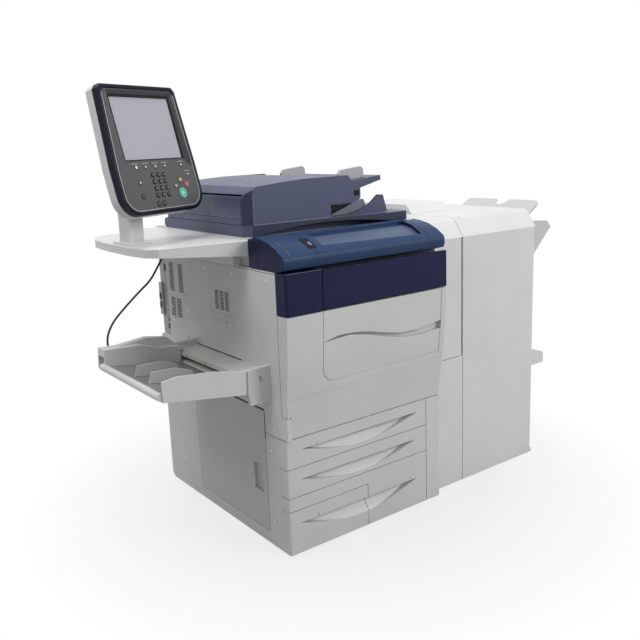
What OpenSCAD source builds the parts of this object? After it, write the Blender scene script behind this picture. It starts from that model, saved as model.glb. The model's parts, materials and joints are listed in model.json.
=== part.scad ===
// Digital production printer with paper trays, document feeder, work shelf and finisher.
// X runs to the right, Y runs to the back and Z runs up. The floor is at zero.

/* [Main body] */
// Width of the main body over its side covers
body_w = 630; // [600:1:700]
// Depth of the main body behind the tray fronts
body_d = 782; // [760:1:840]
// Clear height under the covers
skirt_z = 14; // [12:1:20]
// Width of the fixed strip beside the tray fronts
strip_w = 62; // [55:1:90]
// Height of the pair of large trays
big_tray_h = 183; // [175:1:200]
// Height of each upper tray front
tray_h = 92; // [88:1:100]
// Height of the front door
door_h = 376; // [350:1:400]
// How far the front door bulges forward
door_bulge = 37; // [32:1:45]
// Height of the toner cover
band_h = 122; // [110:1:135]
// Height of the scanner housing
scanner_h = 84; // [78:1:95]

/* [Covers] */
// Wall of the moulded covers
skin = 3; // [2.5:0.1:4]
// Depth of a side cover with its rim
cover_t = 16; // [15:0.5:20]
// Visible gap between neighbouring covers
seam = 2.5; // [2:0.1:3]
// Sheet metal of the frame
plate = 2; // [1.5:0.1:2.5]
// Clearance between parts that seat on each other
fit = 0.3; // [0.2:0.05:0.4]
// Radial clearance of a pin in its bore
pin_fit = 0.05; // [0.03:0.01:0.08]

/* [Paper trays] */
// Depth of the moulded tray fronts
tray_front_d = 36; // [32:1:42]
// Depth of the tray boxes
tray_box_d = 470; // [420:1:520]
// Depth of the finger recess
scoop_d = 24; // [18:1:28]

/* [Document feeder] */
// Width of the feeder housing
feeder_w = 438; // [420:1:460]
// Depth of the feeder housing
feeder_d = 512; // [480:1:525]
// Height of the feeder above the scanner
feeder_h = 162; // [150:1:180]
// Thickness of the platen cover
platen_t = 34; // [30:1:38]

/* [Work shelf and screen] */
// Reach of the work shelf from the left side
shelf_reach = 300; // [280:1:330]
// Thickness of the work shelf at its outer edge
shelf_t = 24; // [20:1:30]
// Width of the screen post
post_w = 66; // [56:1:76]
// Width of the control screen housing
panel_w = 352; // [340:1:370]
// Height of the control screen housing
panel_h = 374; // [360:1:390]
// Thickness of the control screen housing
panel_t = 44; // [38:1:50]
// Visible width of the touch screen
screen_w = 246; // [230:1:260]
// Visible height of the touch screen
screen_h = 180; // [170:1:190]
// Turn of the screen towards the front of the machine
screen_yaw = 24; // [10:1:35]
// Backward lean of the screen
screen_lean = 14; // [8:1:20]

/* [Bypass tray] */
// Reach of the bypass tray beyond its bracket
bypass_l = 268; // [240:1:290]
// Width of the bypass tray over its walls
bypass_w = 458; // [440:1:470]
// Upward slope of the bypass tray
bypass_slope = 8; // [5:1:12]
// Distance of each paper guide from the middle of the tray
guide_half = 47; // [30:1:60]

/* [Finisher] */
// Width of the relay unit between body and finisher
relay_w = 160; // [140:1:180]
// Width of the finisher
finisher_w = 390; // [370:1:420]
// Depth of the finisher and the relay unit
finisher_d = 700; // [660:1:740]
// Height of the finisher
finisher_h = 960; // [950:1:990]
// Reach of the upper output tray
output_reach = 185; // [160:1:190]

/* [Running gear] */
// Radius of the caster wheels
wheel_r = 22; // [20:0.5:23]
// Width of the caster wheels
wheel_w = 20; // [18:1:24]
// Radius of the levelling feet
foot_r = 22; // [18:1:28]

/* [Hidden] */
$fn = 48;

// Overrun of every cut
over = 1;
// Steps of a rounded outline
arc_steps = 8;

tray_w = body_w - strip_w;
// Heights of the front, from the floor up
z_big = skirt_z + big_tray_h;
z_mid = z_big + tray_h;
z_door = z_mid + tray_h;
z_band = z_door + door_h;
z_deck = z_band + band_h;
z_bed = z_deck + scanner_h;

// Steel frame
frame_x0 = cover_t;
frame_x1 = body_w - cover_t;
frame_y0 = tray_front_d + fit;
frame_y1 = body_d - cover_t;
pan_z = skirt_z + 26 * plate;
mid_deck_z = z_door - 2 * plate;
frame_top = z_deck;
// Wall that carries the right ends of the trays
tray_wall_x = tray_w - 5 * plate;
// Ledge that each tray box slides on
rail_w = 4 * plate;
rail_end = frame_y0 + tray_box_d;
// Line between the two large trays
split_x = tray_w * 0.543;
split_z = skirt_z + big_tray_h * 0.766;

// Round corner of the covers
corner_r = 8;

// Plane behind the front door and the toner cover
door_back = 12;
panel_y = door_back + seam;
inner_t = skin;
// Hinge of the front door
door_pin_x = 8;
door_pin_y = -10;
door_pin_r = 3;
door_boss_r = 6;
door_notch_h = 70;
door_notch_w = 18;
door_pin_l = 16;
// Outline of the door bulge: height share, bulge share
door_line_shares = [[0, -0.08], [0.32, 0.35], [0.37, 0.49], [0.57, 0.73], [0.71, 0.84], [1, 1]];
// Groove and wave handle of the door: width share, height share
door_groove = 2.5;
door_wave_d = 16;
door_inner_x_share = 0.2;
wave_shares = [
    [0.205, 0.752], [0.29, 0.782], [0.39, 0.778], [0.48, 0.757], [0.58, 0.717],
    [0.68, 0.685], [0.81, 0.68], [0.97, 0.718], [0.97, 0.64], [0.84, 0.625],
    [0.72, 0.635], [0.6, 0.675], [0.48, 0.73], [0.36, 0.765], [0.205, 0.748]
];

// Toner cover
toner_x0 = body_w * 0.203;
toner_t = 12;
toner_axis_y = -door_bulge + toner_t / 2;
toner_axis_z = z_band + seam / 2 + toner_t / 2;
toner_pin_r = 2;
lug_w = 10;
lug_share = [0.32, 0.88];

// Control top: depth share and height share of its side outline
control_d = 200;
control_h = 92;
control_front = -door_bulge + 5;
control_shares = [
    [0, 0.25], [0.01, 0.42], [0.03, 0.5], [0.18, 0.71], [0.375, 0.88], [0.58, 0.965],
    [0.77, 1], [0.79, 0.9], [1, 0.9], [1, 0.02], [0.18, 0], [0.03, 0.08]
];
pocket_d = 13;
pocket_x_shares = [0.252, 0.867, 0.897, 0.262];
pocket_y_shares = [0.13, 0.1, 0.575, 0.505];

// Scanner
scanner_x0 = 14;
glass_t = 4;
glass_w = 440;
glass_d = 310;
bed_y0 = control_front + control_d + fit;

// Platen cover hinge
lift_in = 84;
lift_y = body_d - lift_in;
lift_z = z_bed + platen_t / 2;
lift_pin_r = 4;
lift_lug_w = 30;
lift_lug_shares = [0.2, 0.8];

// Feeder
feeder_x0 = scanner_x0;
feeder_y0 = 172;
feeder_cut = 26;
feeder_z0 = z_bed + platen_t;
feeder_top = z_bed + feeder_h;
mouth_x = feeder_x0 + feeder_w * 0.72;
mouth_z = z_bed + feeder_h * 0.45;
cheek_t = 28;
stop_t = 8;
fin_h = 56;
platen_lip = 40;
platen_arch = 24;
// Front edge of the platen cover: width share, depth share
platen_shares = [
    [0, 0.11], [0.035, 0.072], [0.3, 0.06], [0.62, 0.03], [0.86, 0], [0.98, 0], [1, 0.02], [1, 1], [0, 1]
];
// Fin and catch beside the paper mouth: width share, fin height share
fin_shares = [
    [0.293, -0.02], [0.322, 0.02], [0.483, 0.2], [0.63, 0.55], [0.74, 1], [0.82, 0.97],
    [0.864, 0.2], [0.879, -0.02]
];
catch_shares = [[0.04, 0], [0.15, 0.3], [0.33, 0.8], [0.38, 0.8], [0.42, 0]];
lid_drop = 38;
lid_z = feeder_top - lid_drop;
lid_w = feeder_w * 0.76;
lid_r = 14;
lid_in = 40;
lid_x = feeder_x0 + lid_in;
lid_axis_z = lid_z + lid_r + 2 * fit;
lid_pin_r = 3;
lid_pin_l = 7;
sheet_tray_t = 9;
sheet_pin_r = 2;
sheet_tray_l = 204;
sheet_tray_slope = 6;
sheet_tray_drop = 34;
sheet_tray_z = feeder_top - sheet_tray_drop;
guide_t = 12;
guide_h = 42;
guide_l = 100;
sheet_guide_half = feeder_d * 0.323;

// Work shelf outline: reach share, depth share
shelf_d = 620;
shelf_y0 = 149;
shelf_z1 = z_bed - 5;
shelf_root_t = 46;
shelf_x1 = scanner_x0 - fit;
shelf_shares = [
    [1, 0], [0.5, 0.04], [0.12, 0.065], [0.035, 0.12], [0, 0.25], [0, 0.52],
    [0.03, 0.7], [0.12, 0.82], [0.28, 0.88], [0.7, 0.96], [1, 1.02]
];

// Screen post and tilt joint
post_d = 46;
flange_w = 84;
flange_d = 104;
flange_t = 6;
post_r = 10;
tilt_side = -38;
tilt_gap = 26;
tilt_back = panel_t + tilt_gap;
tilt_drop = 40;
tilt_r = 14;
tilt_pin_r = 5;
tilt_half = 34;
swivel_pin_r = 8;
swivel_pin_l = 18;

// Screen housing, measured from the middle of the touch screen
screen_x = -186;
screen_y = 364;
screen_rise = 326;
screen_z = z_bed + screen_rise;
panel_up = panel_h * 0.335;
panel_down = panel_h - panel_up;
bezel_t = 6;
glass_lip = 2;
corner_small = 12;
corner_big = 62;
key_rise = 2.5;
key_w = 15;
key_h = 10;
key_r = 2;
key_col = 24;
key_row = 19.7;
key_x0 = -28;
key_z0 = -137;
start_r = 16;
start_x = 83;
start_z = -197;
stop_r = 8;
stop_x = 110;
stop_z = -172;
key_well = 6;

// Bypass tray, measured along its slope from the pivot end
bypass_y0 = 61;
bypass_wall = 5;
rear_wall_t = 52;
bypass_mid = bypass_y0 + (bypass_w + bypass_wall - rear_wall_t) / 2;
bypass_x = -84;
bypass_z = 545;
bypass_low = 15;
bypass_pivot_u = 8;
bypass_pivot_w = 48;
bypass_pin_r = 3;
bracket_x = -78;
bracket_z0 = 493;
bracket_z1 = 602;
head_lug_t = 5;
head_lip_z = 564;
head_t = 14;
head_roller_r = 8;
bypass_floor_t = 3;
extension_t = 2.5;
end_bar_r = 11;
upright_h = 42;
upright_t = 5;
front_wall_shares = [[1, 0.77], [0.83, 1], [0.42, 1.1], [0.06, 1], [0.02, 0.98]];
rear_wall_shares = [[0.99, 0.92], [0.56, 1.12], [0.28, 0.9], [0.06, 0.96], [0.02, 0.96]];
rear_hump_shares = [[0.78, 1.02], [0.42, 1.45], [0.16, 1.42], [0.03, 0.96]];
bypass_wall_h = 55;

// Side door in the left cover
side_y0 = 112;
side_y1 = 544;
side_z0 = 55;
side_z1 = 448;
side_pin_r = 2.5;
side_pin_x = 5;
side_pin_in = 6;
side_pin_l = 8;
side_grip_y0 = 137;
side_grip_y1 = 184;
side_grip_z0 = 176;
side_grip_z1 = 264;

// Vents in the left cover: first Y, first Z, columns, rows, column pitch, row pitch
vent_h = 3.2;
vent_row = 6.2;
// Vents: depth share, height, columns, rows, shares of slot length and column pitch
vents = [
    [0.3568, 728, 3, 10, 0.0307, 0.0396], [0.743, 747, 2, 16, 0.041, 0.087],
    [0.7737, 656, 2, 11, 0.041, 0.0563]
];
side_step = 78;
side_step_z = 574;

// Paper exit between body, relay unit and finisher
exit_y0 = 230;
exit_y1 = 570;
exit_z0 = 560;
exit_z1 = 590;

// Relay unit and finisher
relay_x0 = body_w + seam;
relay_x1 = relay_x0 + relay_w;
finisher_x0 = relay_x1 + seam;
finisher_x1 = finisher_x0 + finisher_w;
finisher_y0 = 42;
finisher_y1 = finisher_y0 + finisher_d;
finisher_z0 = 8;
finisher_edge_h = 64;
finisher_edge_z = finisher_h - finisher_edge_h;
finisher_edge_y = 46;
big_door_t = 30;
big_pin_r = 4;
big_pin_in = 12;
relay_split = 478;
relay_door_t = 26;
hump_x0 = finisher_x0 + finisher_w * 0.04;
hump_x1 = finisher_x0 + finisher_w * 0.54;
hump_y0 = finisher_y0 + finisher_d * 0.38;
hump_y1 = finisher_y0 + finisher_d * 0.9;
hump_h = 32;
hump_pin_r = 3;
hump_lug_shares = [0.2, 0.8];
output_y0 = 145;
output_y1 = 510;
output_t = 8;
output_z = 878;
output_slope = 32;
stacker_y0 = 100;
stacker_y1 = 640;
stacker_reach = 168;
stacker_t = 10;
stacker_z = 714;
stacker_h = 200;
stacker_slope = 44;
booklet_y0 = 100;
booklet_y1 = 400;
booklet_l = 140;
booklet_z = 332;
booklet_h = 68;
booklet_r = 6;

// Casters and feet
caster_x = [body_w * 0.2, body_w * 0.8];
caster_y = [body_d * 0.14, body_d * 0.882];
axle_r = 3;
stem_r = 5;
fork_t = 3;
boss_r = 12;
trail = 12;
stud_r = 5;
foot_t = 8;
foot_in = 60;
wheel_z = wheel_r + fit;
fork_z = wheel_z + wheel_r + plate;
stem_z = fork_z + fork_t + fit;

// Toner cartridges, drums and fuser
toner_r = 38;
toner_l = 420;
drum_r = 20;
drum_l = 330;
fuser_r = 22;
engine_y0 = 120;
engine_z = 620;

// Screen cable: radius, sides and route
cable_r = 3.5;
cable_sides = 8;
cable_rings = 64;
gland_r = 9;
gland_l = 22;
gland_1 = [-60, 600, 917];
gland_2 = [0, 640, 520];
cable_route = [
    [-60, 600, 895], [-60, 600, 880], [-68, 600, 862], [-84, 600, 838], [-112, 600, 802],
    [-160, 600, 764], [-208, 600, 724], [-248, 600, 686], [-270, 600, 650], [-276, 600, 620],
    [-272, 602, 588], [-254, 606, 556], [-222, 612, 530], [-180, 620, 512], [-136, 630, 504],
    [-96, 638, 506], [-62, 640, 514], [-40, 640, 520], [-22, 640, 520]
];

// Extent of the whole machine and its middle
reach_left = bypass_x - (bypass_l + end_bar_r - fit) * cos(bypass_slope) - end_bar_r;
reach_right = finisher_x1 + fit + max(output_reach * cos(output_slope), stacker_reach);
mid_x = (reach_left + reach_right) / 2;
mid_y = (body_d - door_bulge) / 2;

// Solid between two corners
module block(x0, x1, y0, y1, z0, z1) {
    translate([x0, y0, z0]) cube([x1 - x0, y1 - y0, z1 - z0]);
}

// Outline in Y and Z swept along X
module along_x(x0, x1) {
    translate([x0, 0, 0]) rotate([90, 0, 90]) linear_extrude(x1 - x0) children();
}

// Outline in X and Z swept along Y
module along_y(y0, y1) {
    translate([0, y1, 0]) rotate([90, 0, 0]) linear_extrude(y1 - y0) children();
}

// Outline in X and Y swept along Z
module along_z(z0, z1) {
    translate([0, 0, z0]) linear_extrude(z1 - z0) children();
}

module rod_x(x0, x1, y, z, r) {
    translate([x0, y, z]) rotate([0, 90, 0]) cylinder(h = x1 - x0, r = r);
}

module rod_y(x, y0, y1, z, r) {
    translate([x, y1, z]) rotate([90, 0, 0]) cylinder(h = y1 - y0, r = r);
}

module rod_z(x, y, z0, z1, r) {
    translate([x, y, z0]) cylinder(h = z1 - z0, r = r);
}

// Flat rectangle with round corners
module rounded(x0, x1, y0, y1, r) {
    translate([x0 + r, y0]) square([x1 - x0 - 2 * r, y1 - y0]);
    translate([x0, y0 + r]) square([x1 - x0, y1 - y0 - 2 * r]);
    for (x = [x0 + r, x1 - r], y = [y0 + r, y1 - r]) translate([x, y]) circle(r);
}

// Outline drawn inwards on all four sides
module inset(w) {
    intersection() {
        translate([w, w]) children();
        translate([w, -w]) children();
        translate([-w, w]) children();
        translate([-w, -w]) children();
    }
}

// Quarter turn of a rounded corner
function turn(cx, cy, r, a0) = [
    for (i = [0 : arc_steps]) [
        cx + r * cos(a0 + 90 * i / arc_steps),
        cy + r * sin(a0 + 90 * i / arc_steps)
    ]
];

// Points of a share table set between two corners
function placed(shares, x0, dx, y0, dy) = [for (s = shares) [x0 + s[0] * dx, y0 + s[1] * dy]];

// Puts the middle of the floor plan on the origin
module put() {
    translate([-mid_x, -mid_y, 0]) children();
}

// Steel frame, tray rails and caster brackets
module frame_walls() {
    block(frame_x0, frame_x1, frame_y0, frame_y1, pan_z, pan_z + plate);
    block(frame_x0, frame_x1, frame_y0, frame_y1, mid_deck_z, mid_deck_z + plate);
    block(frame_x0, frame_x1, frame_y0, frame_y1, frame_top - plate, frame_top);
    block(frame_x0, frame_x0 + plate, frame_y0, frame_y1, pan_z, frame_top);
    block(frame_x1 - plate, frame_x1, frame_y0, frame_y1, pan_z, frame_top);
    block(frame_x0, frame_x1, frame_y1 - plate, frame_y1, pan_z, frame_top);
    block(tray_wall_x, tray_wall_x + plate, frame_y0, rail_end, pan_z, mid_deck_z + plate);
    block(split_x - plate / 2, split_x + plate / 2, frame_y0, rail_end, pan_z, split_z - 2 * seam);
}

function box_low(i) = i == 1 ? z_mid + rail_w : i == 2 ? z_big + rail_w : pan_z + rail_w;

module rails() {
    for (i = [1, 2, 3]) {
        z = box_low(i) - fit;
        block(frame_x0, frame_x0 + plate + rail_w, frame_y0, rail_end, z - plate, z);
        block(tray_wall_x - rail_w, tray_wall_x, frame_y0, rail_end, z - plate, z);
    }
    z = box_low(3) - fit;
    block(split_x - rail_w, split_x + rail_w, frame_y0, rail_end, z - plate, z);
}

module fork_legs(x, y) {
    for (s = [-1, 1]) {
        leg = s > 0 ? x + wheel_w / 2 + fit : x - wheel_w / 2 - fit - fork_t;
        block(leg, leg + fork_t, y - 2 * axle_r, y + 2 * axle_r, wheel_z - 2 * axle_r, fork_z + plate);
    }
    rod_x(x - wheel_w / 2 - over, x + wheel_w / 2 + over, y, wheel_z, axle_r);
}

module machine_frame() color("silver") {
    difference() {
        union() {
            frame_walls();
            rails();
            for (x = caster_x) {
                rod_z(x, caster_y[0], stem_z, pan_z, boss_r);
                fork_legs(x, caster_y[1]);
                block(x - wheel_w, x + wheel_w, caster_y[1] - wheel_w, caster_y[1] + wheel_w,
                    fork_z, pan_z);
            }
        }
        // Way in behind the side door
        block(frame_x0 - over, frame_x0 + plate + over, side_y0 + 2 * cover_t, side_y1 - 2 * cover_t,
            side_z0 + 2 * cover_t, side_z1 - 5 * cover_t);
        // Paper ways on the left and the right
        block(frame_x0 - over, frame_x0 + plate + over, bypass_mid - bypass_w * 0.3,
            bypass_mid + bypass_w * 0.3, bypass_z, bypass_z + rail_w * 3);
        block(frame_x1 - plate - over, frame_x1 + over, exit_y0, exit_y1, exit_z0, exit_z1);
        for (x = caster_x) rod_z(x, caster_y[0], stem_z - over, pan_z + plate + over, stem_r + pin_fit);
    }
}

// Left side outline in Y and Z
module left_outline() {
    step_y = body_d - side_step;
    polygon(concat(
        [[tray_front_d + fit, skirt_z]],
        [for (p = turn(body_d - 3 * corner_r, skirt_z + 3 * corner_r, 3 * corner_r, -90)) p],
        [[body_d, side_step_z - 1.5 * corner_r], [body_d - corner_r, side_step_z]],
        [[step_y, side_step_z], [step_y, z_deck - 1.5 * fit], [panel_y, z_deck - 1.5 * fit]],
        [[panel_y, z_door + seam / 2], [tray_front_d + fit, z_door + seam / 2]]
    ));
}

module side_opening(grow) {
    translate([side_y0 - seam - grow, side_z0 - seam - grow])
        square([side_y1 - side_y0 + 2 * seam + 2 * grow, side_z1 - side_z0 + 2 * seam + 2 * grow]);
}

module vent_slots() {
    for (v = vents, c = [0 : v[2] - 1], r = [0 : v[3] - 1]) {
        y = body_d * (v[0] + c * v[5]);
        z = v[1] + r * vent_row;
        block(-over, skin + over, y, y + body_d * v[4], z, z + vent_h);
    }
}

module left_cover() color("gainsboro") {
    difference() {
        along_x(0, cover_t) left_outline();
        difference() {
            along_x(skin, cover_t + over) inset(skin) left_outline();
            along_x(skin, cover_t) side_opening(skin);
        }
        along_x(-over, cover_t + over) side_opening(0);
        block(-over, skin + over, bypass_mid - bypass_w * 0.3, bypass_mid + bypass_w * 0.3,
            bypass_z, bypass_z + rail_w * 3);
        vent_slots();
        rod_x(-over, skin + over, gland_2[1], gland_2[2], gland_r / 2 + pin_fit);
    }
    for (z = [side_z0 - seam - skin / 2, side_z1 - side_pin_l])
        rod_z(side_pin_x, side_y1 - side_pin_in, z, z + side_pin_l + seam + skin / 2, side_pin_r);
    // Hinge block and lower pin of the front door
    block(0, cover_t, door_pin_y - door_pin_r, panel_y + over, z_door + seam, z_door + door_notch_h);
    rod_z(door_pin_x, door_pin_y + door_pin_r, z_door + door_notch_h - over,
        z_door + door_notch_h + door_pin_l, door_pin_r);
}

// Door low on the left side, for the paper path behind the trays
module side_door() color("gainsboro") {
    pin_y = side_y1 - side_pin_in;
    difference() {
        union() {
            block(0, skin, side_y0, side_y1, side_z0, side_z1);
            difference() {
                block(0, cover_t - skin, side_y0, side_y1 - 4 * side_pin_in, side_z0, side_z1);
                block(skin, cover_t, side_y0 + skin, side_y1, side_z0 + skin, side_z1 - skin);
            }
            for (z = [side_z0, side_z1 - 2 * side_pin_l])
                block(0, 2 * side_pin_x - skin / 2, pin_y - side_pin_x, side_y1 - side_pin_in / 3,
                    z, z + 2 * side_pin_l);
            block(0, cover_t - skin, side_grip_y0 - skin, side_grip_y1 + skin,
                side_grip_z0 - skin, side_grip_z1 + skin);
        }
        block(-over, cover_t - 2 * skin, side_grip_y0, side_grip_y1, side_grip_z0, side_grip_z1);
        for (z = [side_z0 - over, side_z1 - side_pin_l - fit])
            rod_z(side_pin_x, pin_y, z, z + side_pin_l + over + fit, side_pin_r + pin_fit);
    }
}

// Right side, with the fixed strip beside the tray fronts
module right_cover() color("gainsboro") {
    difference() {
        union() {
            block(frame_x1, body_w, panel_y + inner_t + fit, body_d, z_door + seam / 2, z_deck - fit);
            block(frame_x1, body_w, tray_front_d, body_d, skirt_z, z_door + seam / 2);
            block(tray_w + seam, body_w, 0, tray_front_d, skirt_z, z_door - seam / 2);
        }
        block(frame_x1 - over, body_w - skin, tray_front_d + skin, body_d - cover_t,
            skirt_z + skin, z_deck - skin);
        block(body_w - skin - over, body_w + over, exit_y0, exit_y1, exit_z0, exit_z1);
        block(tray_w + seam + skin, frame_x1, skin, tray_front_d + over, skirt_z + skin,
            z_door - seam / 2 - skin);
    }
}

module rear_cover() color("lightgray") {
    step_y = body_d - side_step;
    difference() {
        block(cover_t + fit, frame_x1 - fit, frame_y1 + fit, body_d, pan_z, z_deck - fit);
        block(cover_t + skin, frame_x1 - skin, frame_y1, body_d - skin, pan_z + skin, z_deck - skin);
        for (i = [0 : 9], x = [body_w * 0.3, body_w * 0.7])
            block(x - body_w / 12, x + body_w / 12, body_d - skin - over, body_d + over,
                side_step_z + i * 4 * vent_row, side_step_z + i * 4 * vent_row + 2 * vent_h);
    }
    // Recessed strip of sheet metal at the rear corner, with a raised connector box
    block(cover_t - 2 * plate, cover_t - plate / 2, step_y + fit, body_d, side_step_z + fit, z_deck - fit);
    block(cover_t - plate, cover_t + fit, body_d - cover_t, body_d, side_step_z + fit, z_deck - fit);
    block(plate, cover_t - 2 * plate, body_d - side_step / 3, body_d - plate,
        side_step_z + side_step * 0.9, side_step_z + side_step * 2.4);
}

// Inner front panel behind the door, with cartridge mouths and drum bay
module inner_panel() color("darkgray") {
    difference() {
        union() {
            block(cover_t + fit, body_w - fit, panel_y, panel_y + inner_t, z_door + seam, z_deck - seam);
            for (s = lug_share) {
                block(body_w * s - lug_w / 2, body_w * s + lug_w / 2, toner_axis_y, panel_y + fit,
                    toner_axis_z - toner_pin_r, toner_axis_z + toner_pin_r);
                rod_x(body_w * s - lug_w, body_w * s + lug_w, toner_axis_y, toner_axis_z, toner_pin_r);
            }
        }
        for (i = [0 : 3])
            rod_y(toner_place(i), panel_y - over, panel_y + inner_t + over, toner_z(), toner_r + fit);
        block(body_w * 0.2, body_w * 0.8, panel_y - over, panel_y + inner_t + over,
            engine_z - 2 * toner_r, engine_z + toner_r);
        block(body_w * 0.12, body_w * 0.3, panel_y - over, panel_y + inner_t + over,
            z_door + 2 * cover_t, z_door + 6 * cover_t);
    }
}

function toner_place(i) = toner_x0 + (body_w - cover_t - toner_x0) * (0.1173 + 0.2267 * i);
function toner_z() = z_band + band_h / 2;

module toner_cartridges() {
    tones = ["dimgray", "deepskyblue", "hotpink", "gold"];
    for (i = [0 : 3]) color(tones[i]) {
        rod_y(toner_place(i), panel_y, panel_y + toner_l, toner_z(), toner_r);
        block(toner_place(i) - toner_r / 4, toner_place(i) + toner_r / 4, panel_y - skin,
            panel_y, toner_z() - toner_r / 2, toner_z() + toner_r / 2);
    }
}

// Four photoconductor drums in a row above the transfer belt
module drum_units() color("teal") {
    for (i = [0 : 3])
        rod_y(body_w * (0.32 + 0.12 * i), panel_y + inner_t + fit, frame_y1 - plate,
            engine_z, drum_r);
    difference() {
        along_y(engine_y0, engine_y0 + drum_l)
            rounded(body_w * 0.28, body_w * 0.72, engine_z - 3 * drum_r, engine_z - drum_r - fit, drum_r * 0.9);
        along_y(engine_y0 - over, engine_y0 + drum_l + over)
            rounded(body_w * 0.28 + plate, body_w * 0.72 - plate, engine_z - 3 * drum_r + plate,
                engine_z - drum_r - fit - plate, drum_r * 0.8);
    }
    for (x = [body_w * 0.28 + drum_r, body_w * 0.72 - drum_r])
        rod_y(x, panel_y + inner_t + fit, frame_y1 - plate, engine_z - 2 * drum_r - fit, drum_r / 2);
}

module fuser_rollers() color("peru") {
    for (s = [-1, 1])
        rod_y(body_w * 0.85 + s * (fuser_r + fit / 2), panel_y + inner_t + fit, frame_y1 - plate,
            engine_z - fuser_r, fuser_r);
}

// Fixed left end of the toner band, wrapped round the corner
module band_corner() color("midnightblue") {
    difference() {
        along_z(z_band + seam / 2, z_deck - fit) polygon(concat(
            [for (p = turn(corner_r, -door_bulge + corner_r, corner_r, 180)) p],
            [[toner_x0 - seam / 2, -door_bulge], [toner_x0 - seam / 2, panel_y - fit], [0, panel_y - fit]]
        ));
        block(skin, toner_x0 - seam / 2 - skin, -door_bulge + skin, panel_y,
            z_band + seam / 2 + skin, z_deck - 2 * skin);
    }
    rod_z(door_pin_x, door_pin_y + door_pin_r, z_band - door_pin_l, z_band + seam, door_pin_r);
}

module toner_cover() color("midnightblue") {
    difference() {
        union() {
            block(toner_x0 + seam / 2, body_w, -door_bulge, -door_bulge + toner_t,
                toner_axis_z, z_deck - seam);
            rod_x(toner_x0 + seam / 2, body_w, toner_axis_y, toner_axis_z, toner_t / 2);
        }
        for (s = lug_share) {
            block(body_w * s - lug_w / 2 - fit, body_w * s + lug_w / 2 + fit, toner_axis_y - 1.5 * toner_pin_r,
                panel_y, toner_axis_z - toner_t, toner_axis_z + 2 * toner_pin_r);
            rod_x(body_w * s - lug_w - fit, body_w * s + lug_w + fit, toner_axis_y, toner_axis_z,
                toner_pin_r + pin_fit);
        }
        block(toner_x0 + seam / 2 + skin, body_w - skin, -door_bulge + skin, panel_y,
            toner_axis_z + toner_t, z_deck - seam - skin);
    }
}

// Bulged front door with its wave handle
module door_outline(back, move) {
    polygon(concat(
        [for (s = door_line_shares) [-door_bulge * s[1] + move, z_door + seam / 2 + (door_h - seam) * s[0]]],
        [[back, z_band - seam / 2], [back, z_door + seam / 2]]
    ));
}

// Only the outer layer of the door, as deep as asked
module door_layer(depth) {
    difference() {
        along_x(-over, body_w + over) door_outline(door_back, -over);
        along_x(-2 * over, body_w + 2 * over) door_outline(door_back + over, depth);
    }
}

module door_points(shares) {
    polygon(placed(shares, 0, body_w, z_door, door_h));
}

module groove_outline() {
    x0 = body_w * door_inner_x_share;
    x1 = body_w * 0.967;
    r = corner_r * 6;
    polygon(concat(
        [for (p = turn(x0 + r, z_door + door_h * 0.41 + r, r, 180)) p],
        [[x1, z_door + door_h * 0.43], [x1, z_band + over], [x0, z_band + over]]
    ));
}

module front_door() color("whitesmoke") {
    difference() {
        union() {
            difference() {
                along_x(0, body_w) door_outline(door_back, 0);
                along_x(skin, body_w - skin) intersection() {
                    inset(skin) door_outline(door_back, 0);
                    door_outline(door_back + over, door_wave_d + skin);
                }
                block(skin, body_w - skin, door_back - skin - over, door_back + over, z_door + 2 * skin,
                    z_band - 2 * skin);
            }
            rod_z(door_pin_x, door_pin_y + door_pin_r, z_door + door_notch_h + seam, z_band - seam / 2,
                door_boss_r);
        }
        block(-over, door_notch_w + seam, -door_bulge / 2 - over, door_back + over, z_door - over,
            z_door + door_notch_h + seam);
        rod_z(door_pin_x, door_pin_y + door_pin_r, z_door, z_band + over, door_pin_r + pin_fit);
        intersection() {
            door_layer(door_wave_d);
            along_y(-2 * door_bulge, door_back) door_points(wave_shares);
        }
        intersection() {
            door_layer(door_groove);
            along_y(-2 * door_bulge, door_back) difference() {
                groove_outline();
                inset(door_groove) groove_outline();
            }
        }
    }
}

// Tray front with the round corner at its left end
module tray_slab(x0, x1, z0, z1, r) {
    along_z(z0 + seam / 2, z1 - seam / 2) polygon(concat(
        [for (p = turn(x0 + r, r, r, 180)) p],
        [[x1, 0], [x1, tray_front_d], [x0, tray_front_d]]
    ));
}

// Long finger recess: flat upper edge, arched lower edge and a sloping floor
module scoop(x0, x1, z, dip) {
    steps = 24;
    intersection() {
        along_y(-over, scoop_d) polygon([
            for (i = [0 : steps]) [x0 + (x1 - x0) * i / steps, z - dip * sin(180 * i / steps)]
        ]);
        along_x(x0, x1) polygon([
            [-over, z + over], [scoop_d, z + over], [scoop_d, z - dip / 4], [-over, z - dip - over]
        ]);
    }
    along_x(x0 + (x1 - x0) / 4, x1 - (x1 - x0) / 4) polygon([
        [scoop_d / 3, z - over], [scoop_d, z - over], [scoop_d, z + dip / 4], [scoop_d / 3, z + dip / 4]
    ]);
}

module tray_1_front() color("whitesmoke") difference() {
    tray_slab(0, tray_w, z_mid, z_door, corner_r);
    scoop(tray_w * 0.097, tray_w * 0.93, z_mid + tray_h * 0.6, tray_h * 0.43);
}

module tray_2_front() color("whitesmoke") difference() {
    tray_slab(0, tray_w, z_big, z_mid, corner_r);
    scoop(tray_w * 0.082, tray_w * 0.915, z_big + tray_h * 0.58, tray_h * 0.43);
}

module low_scoop() {
    scoop(tray_w * 0.07, tray_w * 0.925, skirt_z + big_tray_h * 0.53, big_tray_h * 0.26);
}

module tray_3_front() color("whitesmoke") difference() {
    tray_slab(0, split_x - seam / 2, skirt_z - seam / 2, split_z, corner_r);
    low_scoop();
}

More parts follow.
